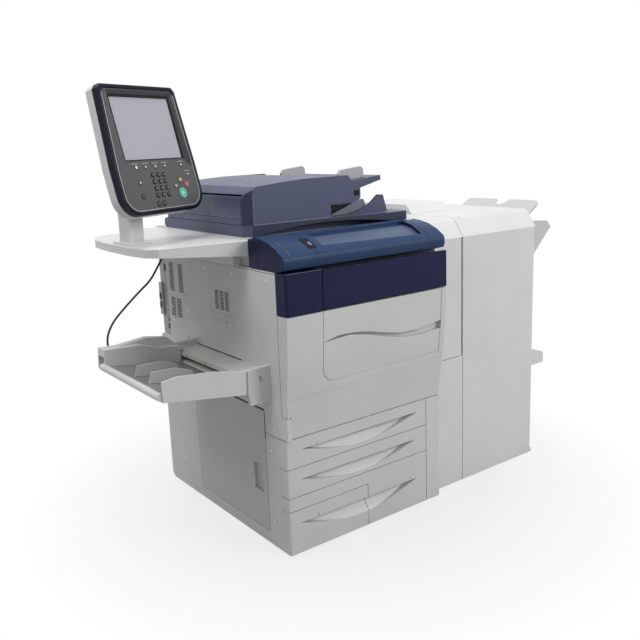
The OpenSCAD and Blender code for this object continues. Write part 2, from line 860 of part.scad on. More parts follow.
module tray_4_front() color("whitesmoke") difference() {
    union() {
        tray_slab(0, tray_w, split_z, z_big, corner_r);
        tray_slab(split_x + seam / 2, tray_w, skirt_z - seam / 2, z_big, fit);
    }
    low_scoop();
}

// Open sheet metal box with a paper lift plate
module tray_box(x0, x1, z0, z1) {
    y1 = rail_end - seam;
    difference() {
        block(x0, x1, tray_front_d, y1, z0, z1);
        block(x0 + plate, x1 - plate, tray_front_d + plate, y1 - plate, z0 + plate, z1 + over);
    }
    block(x0 + 2 * plate, x1 - 2 * plate, tray_front_d + 4 * plate, y1 - 4 * plate,
        z0 + plate + fit, z0 + 2 * plate + fit);
}

tray_box_x0 = frame_x0 + plate + fit;
tray_box_x1 = tray_wall_x - fit;

module tray_1_box() color("gray") tray_box(tray_box_x0, tray_box_x1, box_low(1), z_door - 3 * rail_w);
module tray_2_box() color("gray") tray_box(tray_box_x0, tray_box_x1, box_low(2), z_mid - 2 * rail_w);
module tray_3_box() color("gray")
    tray_box(tray_box_x0, split_x - plate / 2 - fit, box_low(3), split_z - rail_w);
module tray_4_box() color("gray")
    tray_box(split_x + plate / 2 + fit, tray_box_x1, box_low(3), split_z - rail_w);

// Sloped control top with its shallow pocket
module control_outline(move) {
    polygon(placed(control_shares, control_front, control_d, z_deck + fit - move, control_h));
}

module control_top() color("steelblue") {
    difference() {
        along_x(0, body_w) control_outline(0);
        along_x(scanner_x0 + skin, body_w - skin) intersection() {
            inset(skin) control_outline(0);
            control_outline(pocket_d + skin);
        }
        difference() {
            along_z(z_deck, z_deck + 2 * control_h) polygon([
                for (i = [0 : 3]) [pocket_x_shares[i] * body_w, control_front + control_d * pocket_y_shares[i] * 1.2]
            ]);
            along_x(0, body_w) control_outline(pocket_d);
        }
        block(-over, scanner_x0 + fit, shelf_y0 - fit, control_front + control_d + over, z_deck - over,
            z_deck + 2 * control_h);
    }
}

module scanner_housing() color("gainsboro") {
    mid = (scanner_x0 + body_w) / 2;
    difference() {
        union() {
            block(scanner_x0, body_w, bed_y0, body_d, z_deck + fit, z_bed);
            for (s = lift_lug_shares) {
                x = scanner_x0 + (body_w - scanner_x0) * s;
                block(x - lift_lug_w / 2, x + lift_lug_w / 2, lift_y - lift_pin_r, lift_y + lift_lug_w,
                    z_bed - over, lift_z + lift_pin_r);
                rod_x(x - lift_lug_w, x + lift_lug_w, lift_y, lift_z, lift_pin_r);
            }
        }
        block(scanner_x0 + skin, body_w - skin, bed_y0 + skin, body_d - skin, z_deck, z_bed - 2 * glass_t);
        block(mid - glass_w / 2, mid + glass_w / 2, bed_y0 + cover_t * 4, bed_y0 + cover_t * 4 + glass_d,
            z_bed - glass_t, z_bed + over);
        block(mid - glass_w / 2 + glass_t, mid + glass_w / 2 - glass_t, bed_y0 + cover_t * 4 + glass_t,
            bed_y0 + cover_t * 4 + glass_d - glass_t, z_deck, z_bed);
    }
}

module platen_glass() color("lightblue") {
    mid = (scanner_x0 + body_w) / 2;
    block(mid - glass_w / 2 + fit, mid + glass_w / 2 - fit, bed_y0 + cover_t * 4 + fit,
        bed_y0 + cover_t * 4 + glass_d - fit, z_bed - glass_t, z_bed - fit);
}

// Platen cover: flat lid that widens towards the right, arched under its front edge
module platen_cover() color("darkslateblue") {
    x1 = body_w - seam;
    y0 = feeder_y0 - platen_lip;
    difference() {
        union() {
            along_z(z_bed + 2 * fit, feeder_z0)
                polygon(placed(platen_shares, feeder_x0, x1 - feeder_x0, y0, lift_y - y0));
            rod_x(feeder_x0, x1, lift_y, lift_z, platen_t / 2 - 2 * fit);
            along_y(feeder_y0 + cheek_t, feeder_y0 + cheek_t + stop_t)
                polygon(placed(fin_shares, mouth_x, x1 - mouth_x, feeder_z0, fin_h));
        }
        along_y(y0 - 2 * platen_lip, feeder_y0 + platen_lip / 2) polygon([
            for (i = [0 : 2 * arc_steps]) [
                feeder_x0 + feeder_cut + (x1 - feeder_x0 - 2 * feeder_cut) * i / arc_steps / 2,
                z_bed + platen_arch * sin(90 * i / arc_steps)
            ]
        ]);
        for (s = lift_lug_shares) {
            x = scanner_x0 + (body_w - scanner_x0) * s;
            block(x - lift_lug_w / 2 - fit, x + lift_lug_w / 2 + fit, lift_y - 3 * lift_pin_r,
                lift_y + lift_lug_w, z_bed, z_bed + 2 * platen_t);
            rod_x(x - lift_lug_w - fit, x + lift_lug_w + fit, lift_y, lift_z, lift_pin_r + pin_fit);
        }
    }
}

// Sloping catch for the delivered sheets
module exit_catch() color("lightgray") {
    along_y(feeder_y0 + cheek_t + stop_t + fit, feeder_y0 + feeder_d / 2)
        polygon(placed(catch_shares, mouth_x, feeder_w, feeder_z0, fin_h));
}

// Feeder housing in X and Z: rounded left shoulder, paper mouth on the right
feeder_shares = [
    [0, 0], [0, 0.58], [0.02, 0.72], [0.085, 0.88], [0.3, 0.95], [0.51, 0.99], [0.885, 1],
    [0.925, 0.83], [1, 0.81], [1, 0.42], [0.94, 0.31], [0.72, 0.31], [0.72, 0]
];

module feeder_outline() {
    polygon(placed(feeder_shares, feeder_x0, feeder_w, feeder_z0, feeder_top - feeder_z0));
}

module feeder_body() color("darkslateblue") {
    y1 = feeder_y0 + feeder_d;
    difference() {
        along_y(feeder_y0, y1) feeder_outline();
        // Flattened front corner
        along_z(feeder_z0 - over, feeder_top) polygon([
            [feeder_x0 - over, feeder_y0 - over], [feeder_x0 + feeder_cut, feeder_y0 - over],
            [feeder_x0 - over, feeder_y0 + feeder_cut]
        ]);
        // Bay of the opening cover
        block(lid_x, feeder_x0 + lid_w + seam, feeder_y0 + cheek_t / 2, y1 - cheek_t / 2,
            lid_z, feeder_top + over);
        rod_y(lid_x, feeder_y0 + cheek_t / 2, y1 - cheek_t / 2, lid_axis_z, lid_r + 2 * fit);
        // Well of the sheet tray between the cheeks
        block(feeder_x0 + lid_w - over, feeder_x0 + feeder_w + over, feeder_y0 + cheek_t, y1 - cheek_t,
            sheet_tray_z - 2 * sheet_tray_t, feeder_top + over);
        // Hollow of the rollers
        block(feeder_x0 + 2 * skin, mouth_x - 2 * skin, feeder_y0 + cheek_t, y1 - cheek_t,
            feeder_z0 + skin, lid_z + over);
        // Paper mouth above the exit
        block(mouth_x - 3 * skin, feeder_x0 + feeder_w * 0.9, feeder_y0 + cheek_t, y1 - cheek_t,
            feeder_z0 - over, mouth_z - skin);
    }
    for (z = [feeder_z0 + feeder_h * 0.2, feeder_z0 + feeder_h * 0.42])
        rod_y(feeder_x0 + feeder_w * 0.35, feeder_y0 + cheek_t, y1 - cheek_t, z, feeder_h * 0.09);
    for (y = [feeder_y0 + cheek_t / 2 - over, y1 - cheek_t / 2 - lid_pin_l])
        rod_y(lid_x, y, y + lid_pin_l + over, lid_axis_z, lid_pin_r);
    for (y = [feeder_y0 + cheek_t - over, y1 - cheek_t - lid_pin_l])
        rod_y(sheet_axis_x, y, y + lid_pin_l + over, sheet_tray_z, sheet_pin_r);
}

module feeder_cover() color("slateblue") {
    y0 = feeder_y0 + cheek_t / 2 + fit;
    y1 = feeder_y0 + feeder_d - cheek_t / 2 - fit;
    difference() {
        intersection() {
            along_y(y0, y1) feeder_outline();
            union() {
                block(lid_x, feeder_x0 + lid_w, y0, y1, lid_z + 2 * fit, feeder_top);
                rod_y(lid_x, y0, y1, lid_axis_z, lid_r);
            }
        }
        block(lid_x + lid_r + skin, feeder_x0 + lid_w - skin, y0 + skin, y1 - skin, lid_z, lid_z + 5 * skin);
        for (y = [y0 - over, y1 - lid_pin_l])
            rod_y(lid_x, y, y + lid_pin_l + over, lid_axis_z, lid_pin_r + pin_fit);
    }
}

sheet_guide_mid = feeder_y0 + feeder_d * 0.456;
sheet_axis_x = feeder_x0 + lid_w + 2 * seam + sheet_tray_t;

// Frame of the sheet tray, which slopes up to the right
module on_sheet_tray() {
    translate([sheet_axis_x, 0, sheet_tray_z]) rotate([0, -sheet_tray_slope, 0]) children();
}

module feeder_tray() color("slateblue") {
    y0 = feeder_y0 + cheek_t + fit;
    y1 = feeder_y0 + feeder_d - cheek_t - fit;
    on_sheet_tray() difference() {
        union() {
            block(0, sheet_tray_l, y0, y1, -sheet_tray_t / 2, sheet_tray_t / 2);
            rod_y(0, y0, y1, 0, sheet_tray_t / 2);
            // Deeper edges outside the feeder
            for (y = [y0, y1 - guide_t]) along_y(y, y + guide_t) polygon([
                [sheet_tray_l * 0.47, 0], [sheet_tray_l * 0.47, -guide_h * 0.6],
                [sheet_tray_l, -sheet_tray_t * 1.2], [sheet_tray_l, 0]
            ]);
        }
        for (y = [y0 - over, y1 - lid_pin_l])
            rod_y(0, y, y + lid_pin_l + over, 0, sheet_pin_r + pin_fit);
        for (x = [sheet_tray_l * 0.38, sheet_tray_l * 0.68])
            block(x, x + guide_t / 2, y0 + guide_t * 2, y1 - guide_t * 2, -sheet_tray_t, sheet_tray_t);
    }
}

module sheet_guide(side) {
    y = sheet_guide_mid + side * sheet_guide_half;
    u = sheet_tray_l * 0.3;
    on_sheet_tray() {
        along_y(y - guide_t / 2, y + guide_t / 2) polygon([
            [u, sheet_tray_t / 2 + fit], [u - guide_t / 2, guide_h * 0.7],
            [u + guide_t / 2, guide_h], [u + guide_l * 0.9, guide_h],
            [u + guide_l, guide_h * 0.8], [u + guide_l, sheet_tray_t / 2 + fit]
        ]);
        for (x = [sheet_tray_l * 0.38, sheet_tray_l * 0.68])
            block(x + fit, x + guide_t / 2 - fit, y - guide_t / 2, y + guide_t / 2, -sheet_tray_t / 2,
                sheet_tray_t / 2 + 2 * fit);
    }
}

module feeder_guide_front() color("darkgray") sheet_guide(-1);
module feeder_guide_rear() color("darkgray") sheet_guide(1);

// Work shelf with its thick root at the machine
module work_shelf() color("whitesmoke") {
    x0 = -shelf_reach;
    dx = shelf_x1 + shelf_reach;
    difference() {
        intersection() {
            along_z(shelf_z1 - 2 * shelf_root_t, shelf_z1) polygon(placed(shelf_shares, x0, dx, shelf_y0, shelf_d));
            along_y(0, shelf_y0 + 2 * shelf_d) polygon([
                [x0, shelf_z1], [shelf_x1, shelf_z1], [shelf_x1, shelf_z1 - shelf_root_t],
                [x0 + dx * 0.1, shelf_z1 - shelf_t], [x0, shelf_z1 - shelf_t]
            ]);
        }
        rod_z(tilt_x, tilt_y, shelf_z1 - shelf_root_t, shelf_z1 + over, swivel_pin_r + pin_fit);
        rod_z(gland_1[0], gland_1[1], gland_1[2] - over, gland_1[2] + gland_l / 2, gland_r / 2 + pin_fit);
    }
    // Steel arm under the shelf, carried by the frame
    block(-cover_t, shelf_x1, shelf_y0 + shelf_d * 0.1, shelf_y0 + shelf_d * 0.85,
        z_deck - fit, shelf_z1 - shelf_t);
}

// Frame of the screen: X right, Y into the housing and Z up along the glass
module on_screen() {
    translate([screen_x, screen_y, screen_z]) rotate([0, 0, screen_yaw]) rotate([-screen_lean, 0, 0])
        children();
}

// Tilt axis, which stands over the middle of the post
tilt_out = tilt_back * cos(screen_lean) - tilt_drop * sin(screen_lean);
tilt_x = screen_x + tilt_side * cos(screen_yaw) - tilt_out * sin(screen_yaw);
tilt_y = screen_y + tilt_side * sin(screen_yaw) + tilt_out * cos(screen_yaw);
tilt_z = screen_z - tilt_back * sin(screen_lean) - tilt_drop * cos(screen_lean);

module screen_post() color("gainsboro") {
    translate([tilt_x, tilt_y, 0]) {
        along_z(shelf_z1 + fit, shelf_z1 + flange_t)
            rounded(-flange_w / 2, flange_w / 2, -flange_d / 2, flange_d / 2, post_r);
        rod_z(0, 0, shelf_z1 - swivel_pin_l, shelf_z1 + flange_t, swivel_pin_r);
        rotate([0, 0, screen_yaw]) along_z(shelf_z1 + flange_t - over, tilt_z - 1.8 * tilt_r)
            rounded(-post_w / 2, post_w / 2, -post_d / 2, post_d / 2, post_r);
        rotate([0, 0, screen_yaw]) difference() {
            union() {
                rod_x(-tilt_half, tilt_half, 0, tilt_z, tilt_r);
                block(-tilt_half, tilt_half, -tilt_r * 0.8, tilt_r, tilt_z - 2 * tilt_r, tilt_z);
            }
            rod_x(-tilt_half - over, tilt_half + over, 0, tilt_z, tilt_pin_r + pin_fit);
        }
    }
}

function reversed(p) = [for (i = [len(p) - 1 : -1 : 0]) p[i]];

// Screen outline: straight top, sides that swell, big round lower corners
module screen_outline(w) {
    x = panel_w / 2 - w;
    top = panel_up - w;
    low = -panel_down + w;
    r = corner_big - w;
    polygon(concat(
        [[x * 0.94 - corner_small, top], [x * 0.94, top - corner_small], [x, low + 2.2 * r]],
        reversed(turn(x - r, low + r, r, -90)),
        reversed(turn(-x + r, low + r, r, 180)),
        [[-x, low + 2.2 * r], [-x * 0.9, top - corner_small], [-x * 0.9 + corner_small, top]]
    ));
}

module screen_shell() color("gainsboro") on_screen() {
    difference() {
        along_y(bezel_t + fit, panel_t) screen_outline(0);
        along_y(bezel_t, panel_t - skin) screen_outline(skin);
    }
    // Raised back and the ears of the tilt joint
    along_y(panel_t - over, panel_t + bezel_t) screen_outline(4 * bezel_t);
    for (s = [0, 1]) {
        x = tilt_side - tilt_half - fit - bezel_t + s * (2 * tilt_half + 2 * fit + bezel_t);
        block(x, x + bezel_t, panel_t, tilt_back, -tilt_drop - tilt_r, -tilt_drop + tilt_r);
        rod_x(x, x + bezel_t, tilt_back, -tilt_drop, tilt_r);
    }
    rod_x(tilt_side - tilt_half - bezel_t, tilt_side + tilt_half + bezel_t, tilt_back, -tilt_drop, tilt_pin_r);
}

module key_spot(i) {
    translate([key_x0 + (i % 3) * key_col, 0, key_z0 - floor(i / 3) * key_row]) children();
}

module screen_bezel() color("dimgray") on_screen() difference() {
    along_y(0, bezel_t) screen_outline(0);
    block(-screen_w / 2, screen_w / 2, -over, bezel_t + over, -screen_h / 2, screen_h / 2);
    for (i = [0 : 11]) key_spot(i)
        block(-key_w / 2 - fit, key_w / 2 + fit, -over, bezel_t + over, -key_h / 2 - fit, key_h / 2 + fit);
    rod_y(start_x, -over, bezel_t + over, start_z, start_r + fit);
    rod_y(stop_x, -over, bezel_t + over, stop_z, stop_r + fit);
}

module touch_glass() color("lightsteelblue") on_screen()
    block(-screen_w / 2 + fit, screen_w / 2 - fit, glass_lip, bezel_t + glass_lip,
        -screen_h / 2 + fit, screen_h / 2 - fit);

module number_keys() color("gainsboro") on_screen() {
    for (i = [0 : 11]) key_spot(i) along_y(-key_rise, bezel_t + fit)
        rounded(-key_w / 2, key_w / 2, -key_h / 2, key_h / 2, key_r);
    along_y(bezel_t + fit, bezel_t + key_well)
        translate([key_x0 - key_w, key_z0 - 3 * key_row - key_w]) square([2 * key_col + 2 * key_w, 3 * key_row + 2 * key_w]);
}

module start_key() color("mediumseagreen") on_screen()
    rod_y(start_x, -key_rise, bezel_t + key_well, start_z, start_r);

module stop_key() color("indianred") on_screen()
    rod_y(stop_x, -key_rise, bezel_t + key_well, stop_z, stop_r);

// Frame of the bypass tray: X runs back along the slope from the pivot end, so it is negative
module on_bypass() {
    translate([bypass_x, 0, bypass_z]) rotate([0, bypass_slope, 0]) children();
}

module bypass_profile(shares) {
    polygon(concat(
        [[0, -bypass_low], [-bypass_l * 0.97, -bypass_low]],
        [for (s = shares) [-bypass_l * s[0], bypass_wall_h * s[1]]]
    ));
}

module bypass_tray() color("gainsboro") {
    y1 = bypass_y0 + bypass_w;
    rear = y1 - rear_wall_t;
    on_bypass() difference() {
        union() {
            along_y(bypass_y0, bypass_y0 + bypass_wall) bypass_profile(front_wall_shares);
            difference() {
                union() {
                    along_y(rear, y1) bypass_profile(rear_wall_shares);
                    along_y(y1 - rear_wall_t / 2, y1) bypass_profile(rear_hump_shares);
                }
                block(-bypass_l, -over, rear + bypass_wall, y1 - bypass_wall, -bypass_low - over,
                    bypass_wall_h / 2);
            }
            block(-bypass_l * 0.94, 0, bypass_y0 + bypass_wall - over, rear + over, -bypass_floor_t, 0);
            block(-bypass_l * 0.97, -bypass_l * 0.1, bypass_y0 + bypass_wall - over, rear + over,
                -bypass_low, -bypass_low + bypass_floor_t);
        }
        for (y = [bypass_y0 + bypass_wall / 3, rear - over])
            rod_y(-bypass_pivot_u, y, y + bypass_wall + over, bypass_pivot_w, bypass_pin_r + pin_fit);
        for (u = [bypass_l * 0.35, bypass_l * 0.7])
            block(-u, -u + upright_t, bypass_mid - bypass_w * 0.3, bypass_mid + bypass_w * 0.3,
                -bypass_floor_t - over, over);
    }
}

module upright(side) {
    y = bypass_mid + side * guide_half;
    on_bypass() {
        along_y(y - upright_t / 2, y + upright_t / 2) polygon([
            [-bypass_l * 0.86, fit], [-bypass_l * 0.84, upright_h * 0.8], [-bypass_l * 0.55, upright_h],
            [-bypass_l * 0.35, upright_h * 0.75], [-bypass_l * 0.3, fit]
        ]);
        block(-bypass_l * 0.84, -bypass_l * 0.34, y, y + 3 * upright_t, fit, plate + fit);
        for (u = [bypass_l * 0.35, bypass_l * 0.7])
            block(-u + fit, -u + upright_t - fit, y, y + upright_t, -bypass_floor_t, 2 * fit);
    }
}

module bypass_guide_front() color("lightgray") upright(-1);
module bypass_guide_rear() color("lightgray") upright(1);

// Sliding extension between the two floors, ended by a round bar
module bypass_extension() color("gainsboro") {
    rear = bypass_y0 + bypass_w - rear_wall_t;
    z = -bypass_floor_t - fit;
    on_bypass() {
        block(-bypass_l, -bypass_l * 0.4, bypass_y0 + bypass_wall + fit, rear - fit,
            z - 2 * extension_t, z - extension_t);
        rod_y(-bypass_l + fit, bypass_y0 + bypass_wall + fit, rear - fit, 0, end_bar_r);
        block(-bypass_l, -bypass_l + end_bar_r, bypass_y0 + bypass_wall + fit, rear - fit,
            z - 2 * extension_t, 0);
    }
}

module bypass_head() color("gainsboro") {
    y1 = bypass_y0 + bypass_w;
    inner = bypass_y0 + bypass_wall + 2 * fit;
    rear = y1 - rear_wall_t - 2 * fit;
    pu = bypass_x - bypass_pivot_u * cos(bypass_slope) + bypass_pivot_w * sin(bypass_slope);
    pz = bypass_z + bypass_pivot_u * sin(bypass_slope) + bypass_pivot_w * cos(bypass_slope);
    // Cheeks of the bracket
    for (y = [bypass_y0, y1 - cover_t]) along_y(y, y + cover_t) polygon([
        [0, bracket_z0], [0, bracket_z1], [bracket_x, bracket_z1 - plate], [bracket_x, bracket_z0 + cover_t * 2],
        [bracket_x + cover_t / 2, bracket_z0]
    ]);
    // Feed housing over the paper mouth
    along_y(bypass_y0 + over, y1 - over) polygon([
        [0, head_lip_z], [bracket_x, head_lip_z], [bracket_x, head_lip_z + head_t],
        [0, head_lip_z + 1.3 * head_t]
    ]);
    // Sill under the paper mouth
    block(bracket_x, 0, bypass_y0 + over, y1 - over, bypass_z - 2 * cover_t, bypass_z - fit);
    // Lugs and pins of the folding tray
    for (y = [inner, rear - head_lug_t]) {
        block(pu - 2 * bypass_pin_r, pu + 3 * head_lug_t, y, y + head_lug_t, pz - 2 * bypass_pin_r,
            pz + 2 * bypass_pin_r);
        block(bracket_x, pu + 3 * head_lug_t, y, y + head_lug_t, head_lip_z + over, pz);
    }
    rod_y(pu, bypass_y0 + bypass_wall / 2, inner + over, pz, bypass_pin_r);
    rod_y(pu, rear - over, rear + bypass_wall * 0.8, pz, bypass_pin_r);
    // Feed roller in the mouth
    rod_y(bracket_x / 3, bypass_mid - guide_half * 2, bypass_mid + guide_half * 2,
        head_lip_z + head_roller_r / 2, head_roller_r);
}

// Relay unit and finisher share this outline in Y and Z
module tall_outline(front, z0) {
    edge = finisher_y0 + finisher_edge_y;
    polygon([
        [front, z0], [front, finisher_edge_z + fit], [finisher_y0, finisher_edge_z + fit],
        [edge - corner_r, finisher_h - corner_r],
        [edge + corner_r, finisher_h], [finisher_y1 - corner_r, finisher_h],
        [finisher_y1, finisher_h - 1.5 * corner_r], [finisher_y1, z0]
    ]);
}

module relay_frame() color("whitesmoke") {
    front = finisher_y0 + relay_door_t + fit;
    difference() {
        union() {
            along_x(relay_x0, relay_x1) tall_outline(front, finisher_z0);
            block(relay_x0, relay_x1, finisher_y0, front + fit, finisher_z0, relay_split - seam / 2);
            // Docking frames round the paper way on both sides
            for (x = [relay_x0 - seam + fit, relay_x1 - fit])
                block(x, x + seam, exit_y0 - cover_t, exit_y1 + cover_t, exit_z0 - cover_t, exit_z1 + cover_t);
            for (z = [relay_split - seam, finisher_edge_z - cover_t])
                rod_z(relay_x1 - big_pin_in, finisher_y0 + big_pin_in, z, z + cover_t + over, big_pin_r);
        }
        along_x(relay_x0 + skin, relay_x1 - skin) difference() {
            inset(skin) tall_outline(front, finisher_z0);
            translate([0, exit_z0 - cover_t]) square([finisher_y1, plate]);
        }
        block(relay_x0 - seam, relay_x1 + seam, exit_y0, exit_y1, exit_z0, exit_z1);
    }
}

// Door with its hinge edge rounded about the pin
module tall_door(x0, x1, depth, z0) {
    pin_x = x1 - big_pin_in;
    pin_y = finisher_y0 + big_pin_in;
    difference() {
        union() {
            block(x0, pin_x, finisher_y0, finisher_y0 + depth, z0, finisher_edge_z);
            rod_z(pin_x, pin_y, z0, finisher_edge_z, big_pin_in);
        }
        block(x0 + skin, pin_x - big_pin_in, finisher_y0 + skin, finisher_y0 + depth + over, z0 + skin,
            finisher_edge_z - skin);
        rod_z(pin_x, pin_y, z0 - over, finisher_h, big_pin_r + pin_fit);
    }
}

module relay_cover() color("whitesmoke")
    tall_door(relay_x0, relay_x1, relay_door_t, relay_split + seam / 2);

module finisher_frame() color("whitesmoke") {
    front = finisher_y0 + big_door_t + fit;
    difference() {
        union() {
            along_x(finisher_x0, finisher_x1) tall_outline(front, finisher_z0);
            block(finisher_x0, finisher_x1, finisher_y0, front + fit, finisher_z0, finisher_z0 + cover_t);
            for (z = [finisher_z0 + cover_t - over, finisher_edge_z - 2 * cover_t])
                rod_z(finisher_x1 - big_pin_in, finisher_y0 + big_pin_in, z, z + 2 * cover_t + over, big_pin_r);
        }
        along_x(finisher_x0 + skin, finisher_x1 - skin) inset(skin) tall_outline(front, finisher_z0);
        block(finisher_x0 - over, finisher_x0 + skin + over, exit_y0, exit_y1, exit_z0, exit_z1);
        block(finisher_x1 - skin - over, finisher_x1 + over, output_y0, output_y1, output_z + output_t,
            output_z + 3 * output_t);
        block(finisher_x1 - skin - over, finisher_x1 + over, stacker_y0, stacker_y1,
            stacker_z + 2 * stacker_t, stacker_z + 3 * stacker_t);
        block(hump_x0 + cover_t, hump_x1 - cover_t, hump_y0 + cover_t, hump_y1 - 2 * cover_t,
            finisher_h - 2 * skin, finisher_h + over);
        block(finisher_x1 - skin - over, finisher_x1 + over, booklet_y0, booklet_y1,
            booklet_z + booklet_h + cover_t, booklet_z + booklet_h + 2 * cover_t);
    }
    hump_lugs(0);
    booklet_ears();
    for (s = hump_lug_shares) {
        x = hump_x0 + (hump_x1 - hump_x0) * s;
        rod_x(x - lug_w, x + lug_w, hump_axis_y, hump_axis_z, hump_pin_r / 2);
    }
    block(finisher_x0 + cover_t, finisher_x0 + cover_t + plate, front + skin - over, finisher_y1 - skin + over,
        finisher_z0 + skin - over, exit_z0 - cover_t);
    for (x = [finisher_x0 + finisher_w * 0.4, finisher_x0 + finisher_w * 0.75])
        rod_y(x, front + skin - over, finisher_y1 - skin + over, exit_z0, cover_t);
}

module finisher_door() color("whitesmoke")
    tall_door(finisher_x0, finisher_x1, big_door_t, finisher_z0 + cover_t + fit);

hump_axis_y = hump_y1 - 2 * hump_pin_r;
hump_axis_z = finisher_h + fit + 2 * hump_pin_r;

module hump_lugs(grow) {
    for (s = hump_lug_shares) {
        x = hump_x0 + (hump_x1 - hump_x0) * s;
        block(x - lug_w / 2 - grow, x + lug_w / 2 + grow, hump_axis_y - hump_pin_r - 6 * grow,
            hump_axis_y + hump_pin_r + 6 * grow, finisher_h - over, hump_axis_z + hump_pin_r + 6 * grow);
    }
}

// Raised lid over the folding unit
module finisher_top_cover() color("whitesmoke") {
    difference() {
        union() {
            along_x(hump_x0, hump_x1) polygon([
                [hump_y0, finisher_h + fit], [hump_y0 + hump_h, finisher_h + hump_h],
                [hump_y1 - 2 * hump_h, finisher_h + hump_h], [hump_axis_y, hump_axis_z + 2 * hump_pin_r],
                [hump_axis_y, finisher_h + fit]
            ]);
            rod_x(hump_x0, hump_x1, hump_axis_y, hump_axis_z, 2 * hump_pin_r);
        }
        along_x(hump_x0 + skin, hump_x1 - skin) polygon([
            [hump_y0 + 2 * skin, finisher_h - over], [hump_y0 + hump_h, finisher_h + hump_h - skin],
            [hump_y1 - 2 * hump_h, finisher_h + hump_h - skin], [hump_axis_y - cover_t, finisher_h - over]
        ]);
        hump_lugs(fit);
        for (s = hump_lug_shares) {
            x = hump_x0 + (hump_x1 - hump_x0) * s;
            rod_x(x - lug_w - fit, x + lug_w + fit, hump_axis_y, hump_axis_z, hump_pin_r / 2 + pin_fit);
            block(x - lug_w / 2 - fit, x + lug_w / 2 + fit, hump_axis_y, hump_axis_y + 3 * hump_pin_r,
                finisher_h - over, hump_axis_z + 3 * hump_pin_r);
        }
    }
}

// Upper output tray: sloping sheet with a turned-up end
module upper_output_tray() color("lightgray") {
    translate([finisher_x1 + fit, 0, output_z]) rotate([0, -output_slope, 0]) difference() {
        union() {
            along_z(-output_t, 0) rounded(-output_t / 2, output_reach, output_y0, output_y1, 3 * corner_r);
            along_z(-output_t, 0) translate([0, output_y0]) square([output_reach / 2, output_y1 - output_y0]);
        }
        translate([-output_reach, 0, 0]) rotate([0, output_slope, 0])
            block(-output_reach, output_reach * cos(output_slope), 0, finisher_y1, -output_reach, output_reach);
        translate([0, 0, -2 * output_t]) linear_extrude(3 * output_t)
            translate([output_reach, (output_y0 + output_y1) / 2]) circle(4 * corner_r);
    }
}

// Stacking tray that sinks along the right side
module stacker_side() {
    x0 = finisher_x1 + fit;
    rise = stacker_reach * tan(stacker_slope);
    polygon([
        [x0, stacker_z], [x0 + stacker_reach, stacker_z + rise],
        [x0 + stacker_reach * 0.86, stacker_z + stacker_h * 0.94], [x0, stacker_z + stacker_h]
    ]);
}

module stacker_tray() color("lightgray") difference() {
    along_y(stacker_y0, stacker_y1) stacker_side();
    along_y(stacker_y0 + skin, stacker_y1 - skin) translate([-stacker_t, stacker_t]) stacker_side();
    along_y(stacker_y0 + skin, stacker_y1 - skin) translate([0, stacker_t * 1.5]) stacker_side();
}

booklet_axis_x = finisher_x1 + fit + booklet_r;
booklet_axis_z = booklet_z + booklet_h * 0.4;

module booklet_tray() color("lightgray") {
    x0 = finisher_x1 + fit;
    difference() {
        union() {
            along_y(booklet_y0, booklet_y1) polygon([
                [x0 + 2 * booklet_r, booklet_z], [x0 + booklet_l, booklet_z + skin],
                [x0 + booklet_l, booklet_z + booklet_h * 0.66],
                [x0 + booklet_l / 2, booklet_z + booklet_h * 0.85],
                [booklet_axis_x, booklet_axis_z + booklet_r], [booklet_axis_x, booklet_axis_z - booklet_r]
            ]);
            rod_y(booklet_axis_x, booklet_y0, booklet_y1, booklet_axis_z, booklet_r);
        }
        block(x0 + booklet_l * 0.3, x0 + booklet_l + over, booklet_y0 + 2 * skin, booklet_y1 - 2 * skin,
            booklet_z + booklet_h * 0.4, booklet_z + booklet_h * 0.6);
        for (y = [booklet_y0 - over, booklet_y1 - lid_pin_l])
            rod_y(booklet_axis_x, y, y + lid_pin_l + over, booklet_axis_z, lid_pin_r + pin_fit);
    }
}

// Ears on the right side that carry the booklet tray
module booklet_ears() {
    for (s = [0, 1]) {
        y = s == 0 ? booklet_y0 - lid_pin_l - fit : booklet_y1 + fit;
        block(finisher_x1 - over, booklet_axis_x + booklet_r, y, y + lid_pin_l,
            booklet_axis_z - booklet_r, booklet_axis_z + booklet_r);
        rod_y(booklet_axis_x, y + s * over - s * lid_pin_l, y + 2 * lid_pin_l - s * lid_pin_l - fit,
            booklet_axis_z, lid_pin_r);
    }
}

function foot_places() = [
    for (x = [foot_in, body_w - foot_in], y = [foot_in + tray_front_d, body_d - foot_in]) [x, y, pan_z],
    for (x = [(relay_x0 + relay_x1) / 2, finisher_x0 + foot_in, finisher_x1 - foot_in],
        y = [finisher_y0 + foot_in, finisher_y1 - foot_in]) [x, y, finisher_z0]
];

module levelling_feet() color("dimgray") for (p = foot_places()) {
    rod_z(p[0], p[1], 0, min(foot_t, p[2]), foot_r);
    rod_z(p[0], p[1], min(foot_t, p[2]) - plate, p[2], stud_r);
}

// Swivelling caster fork with its stem and axle
module caster_fork(x) {
    y = caster_y[0];
    fork_legs(x, y + trail);
    block(x - wheel_w / 2 - fit - fork_t, x + wheel_w / 2 + fit + fork_t, y - boss_r, y + trail + boss_r,
        fork_z, fork_z + fork_t);
    rod_z(x, y, fork_z, pan_z, stem_r);
}

module caster_fork_left() color("silver") caster_fork(caster_x[0]);
module caster_fork_right() color("silver") caster_fork(caster_x[1]);

module caster_wheel(x, y) difference() {
    rod_x(x - wheel_w / 2, x + wheel_w / 2, y, wheel_z, wheel_r);
    rod_x(x - wheel_w, x + wheel_w, y, wheel_z, axle_r + pin_fit);
}

module caster_wheel_1() color("dimgray") caster_wheel(caster_x[0], caster_y[0] + trail);
module caster_wheel_2() color("dimgray") caster_wheel(caster_x[1], caster_y[0] + trail);
module caster_wheel_3() color("dimgray") caster_wheel(caster_x[0], caster_y[1]);
module caster_wheel_4() color("dimgray") caster_wheel(caster_x[1], caster_y[1]);

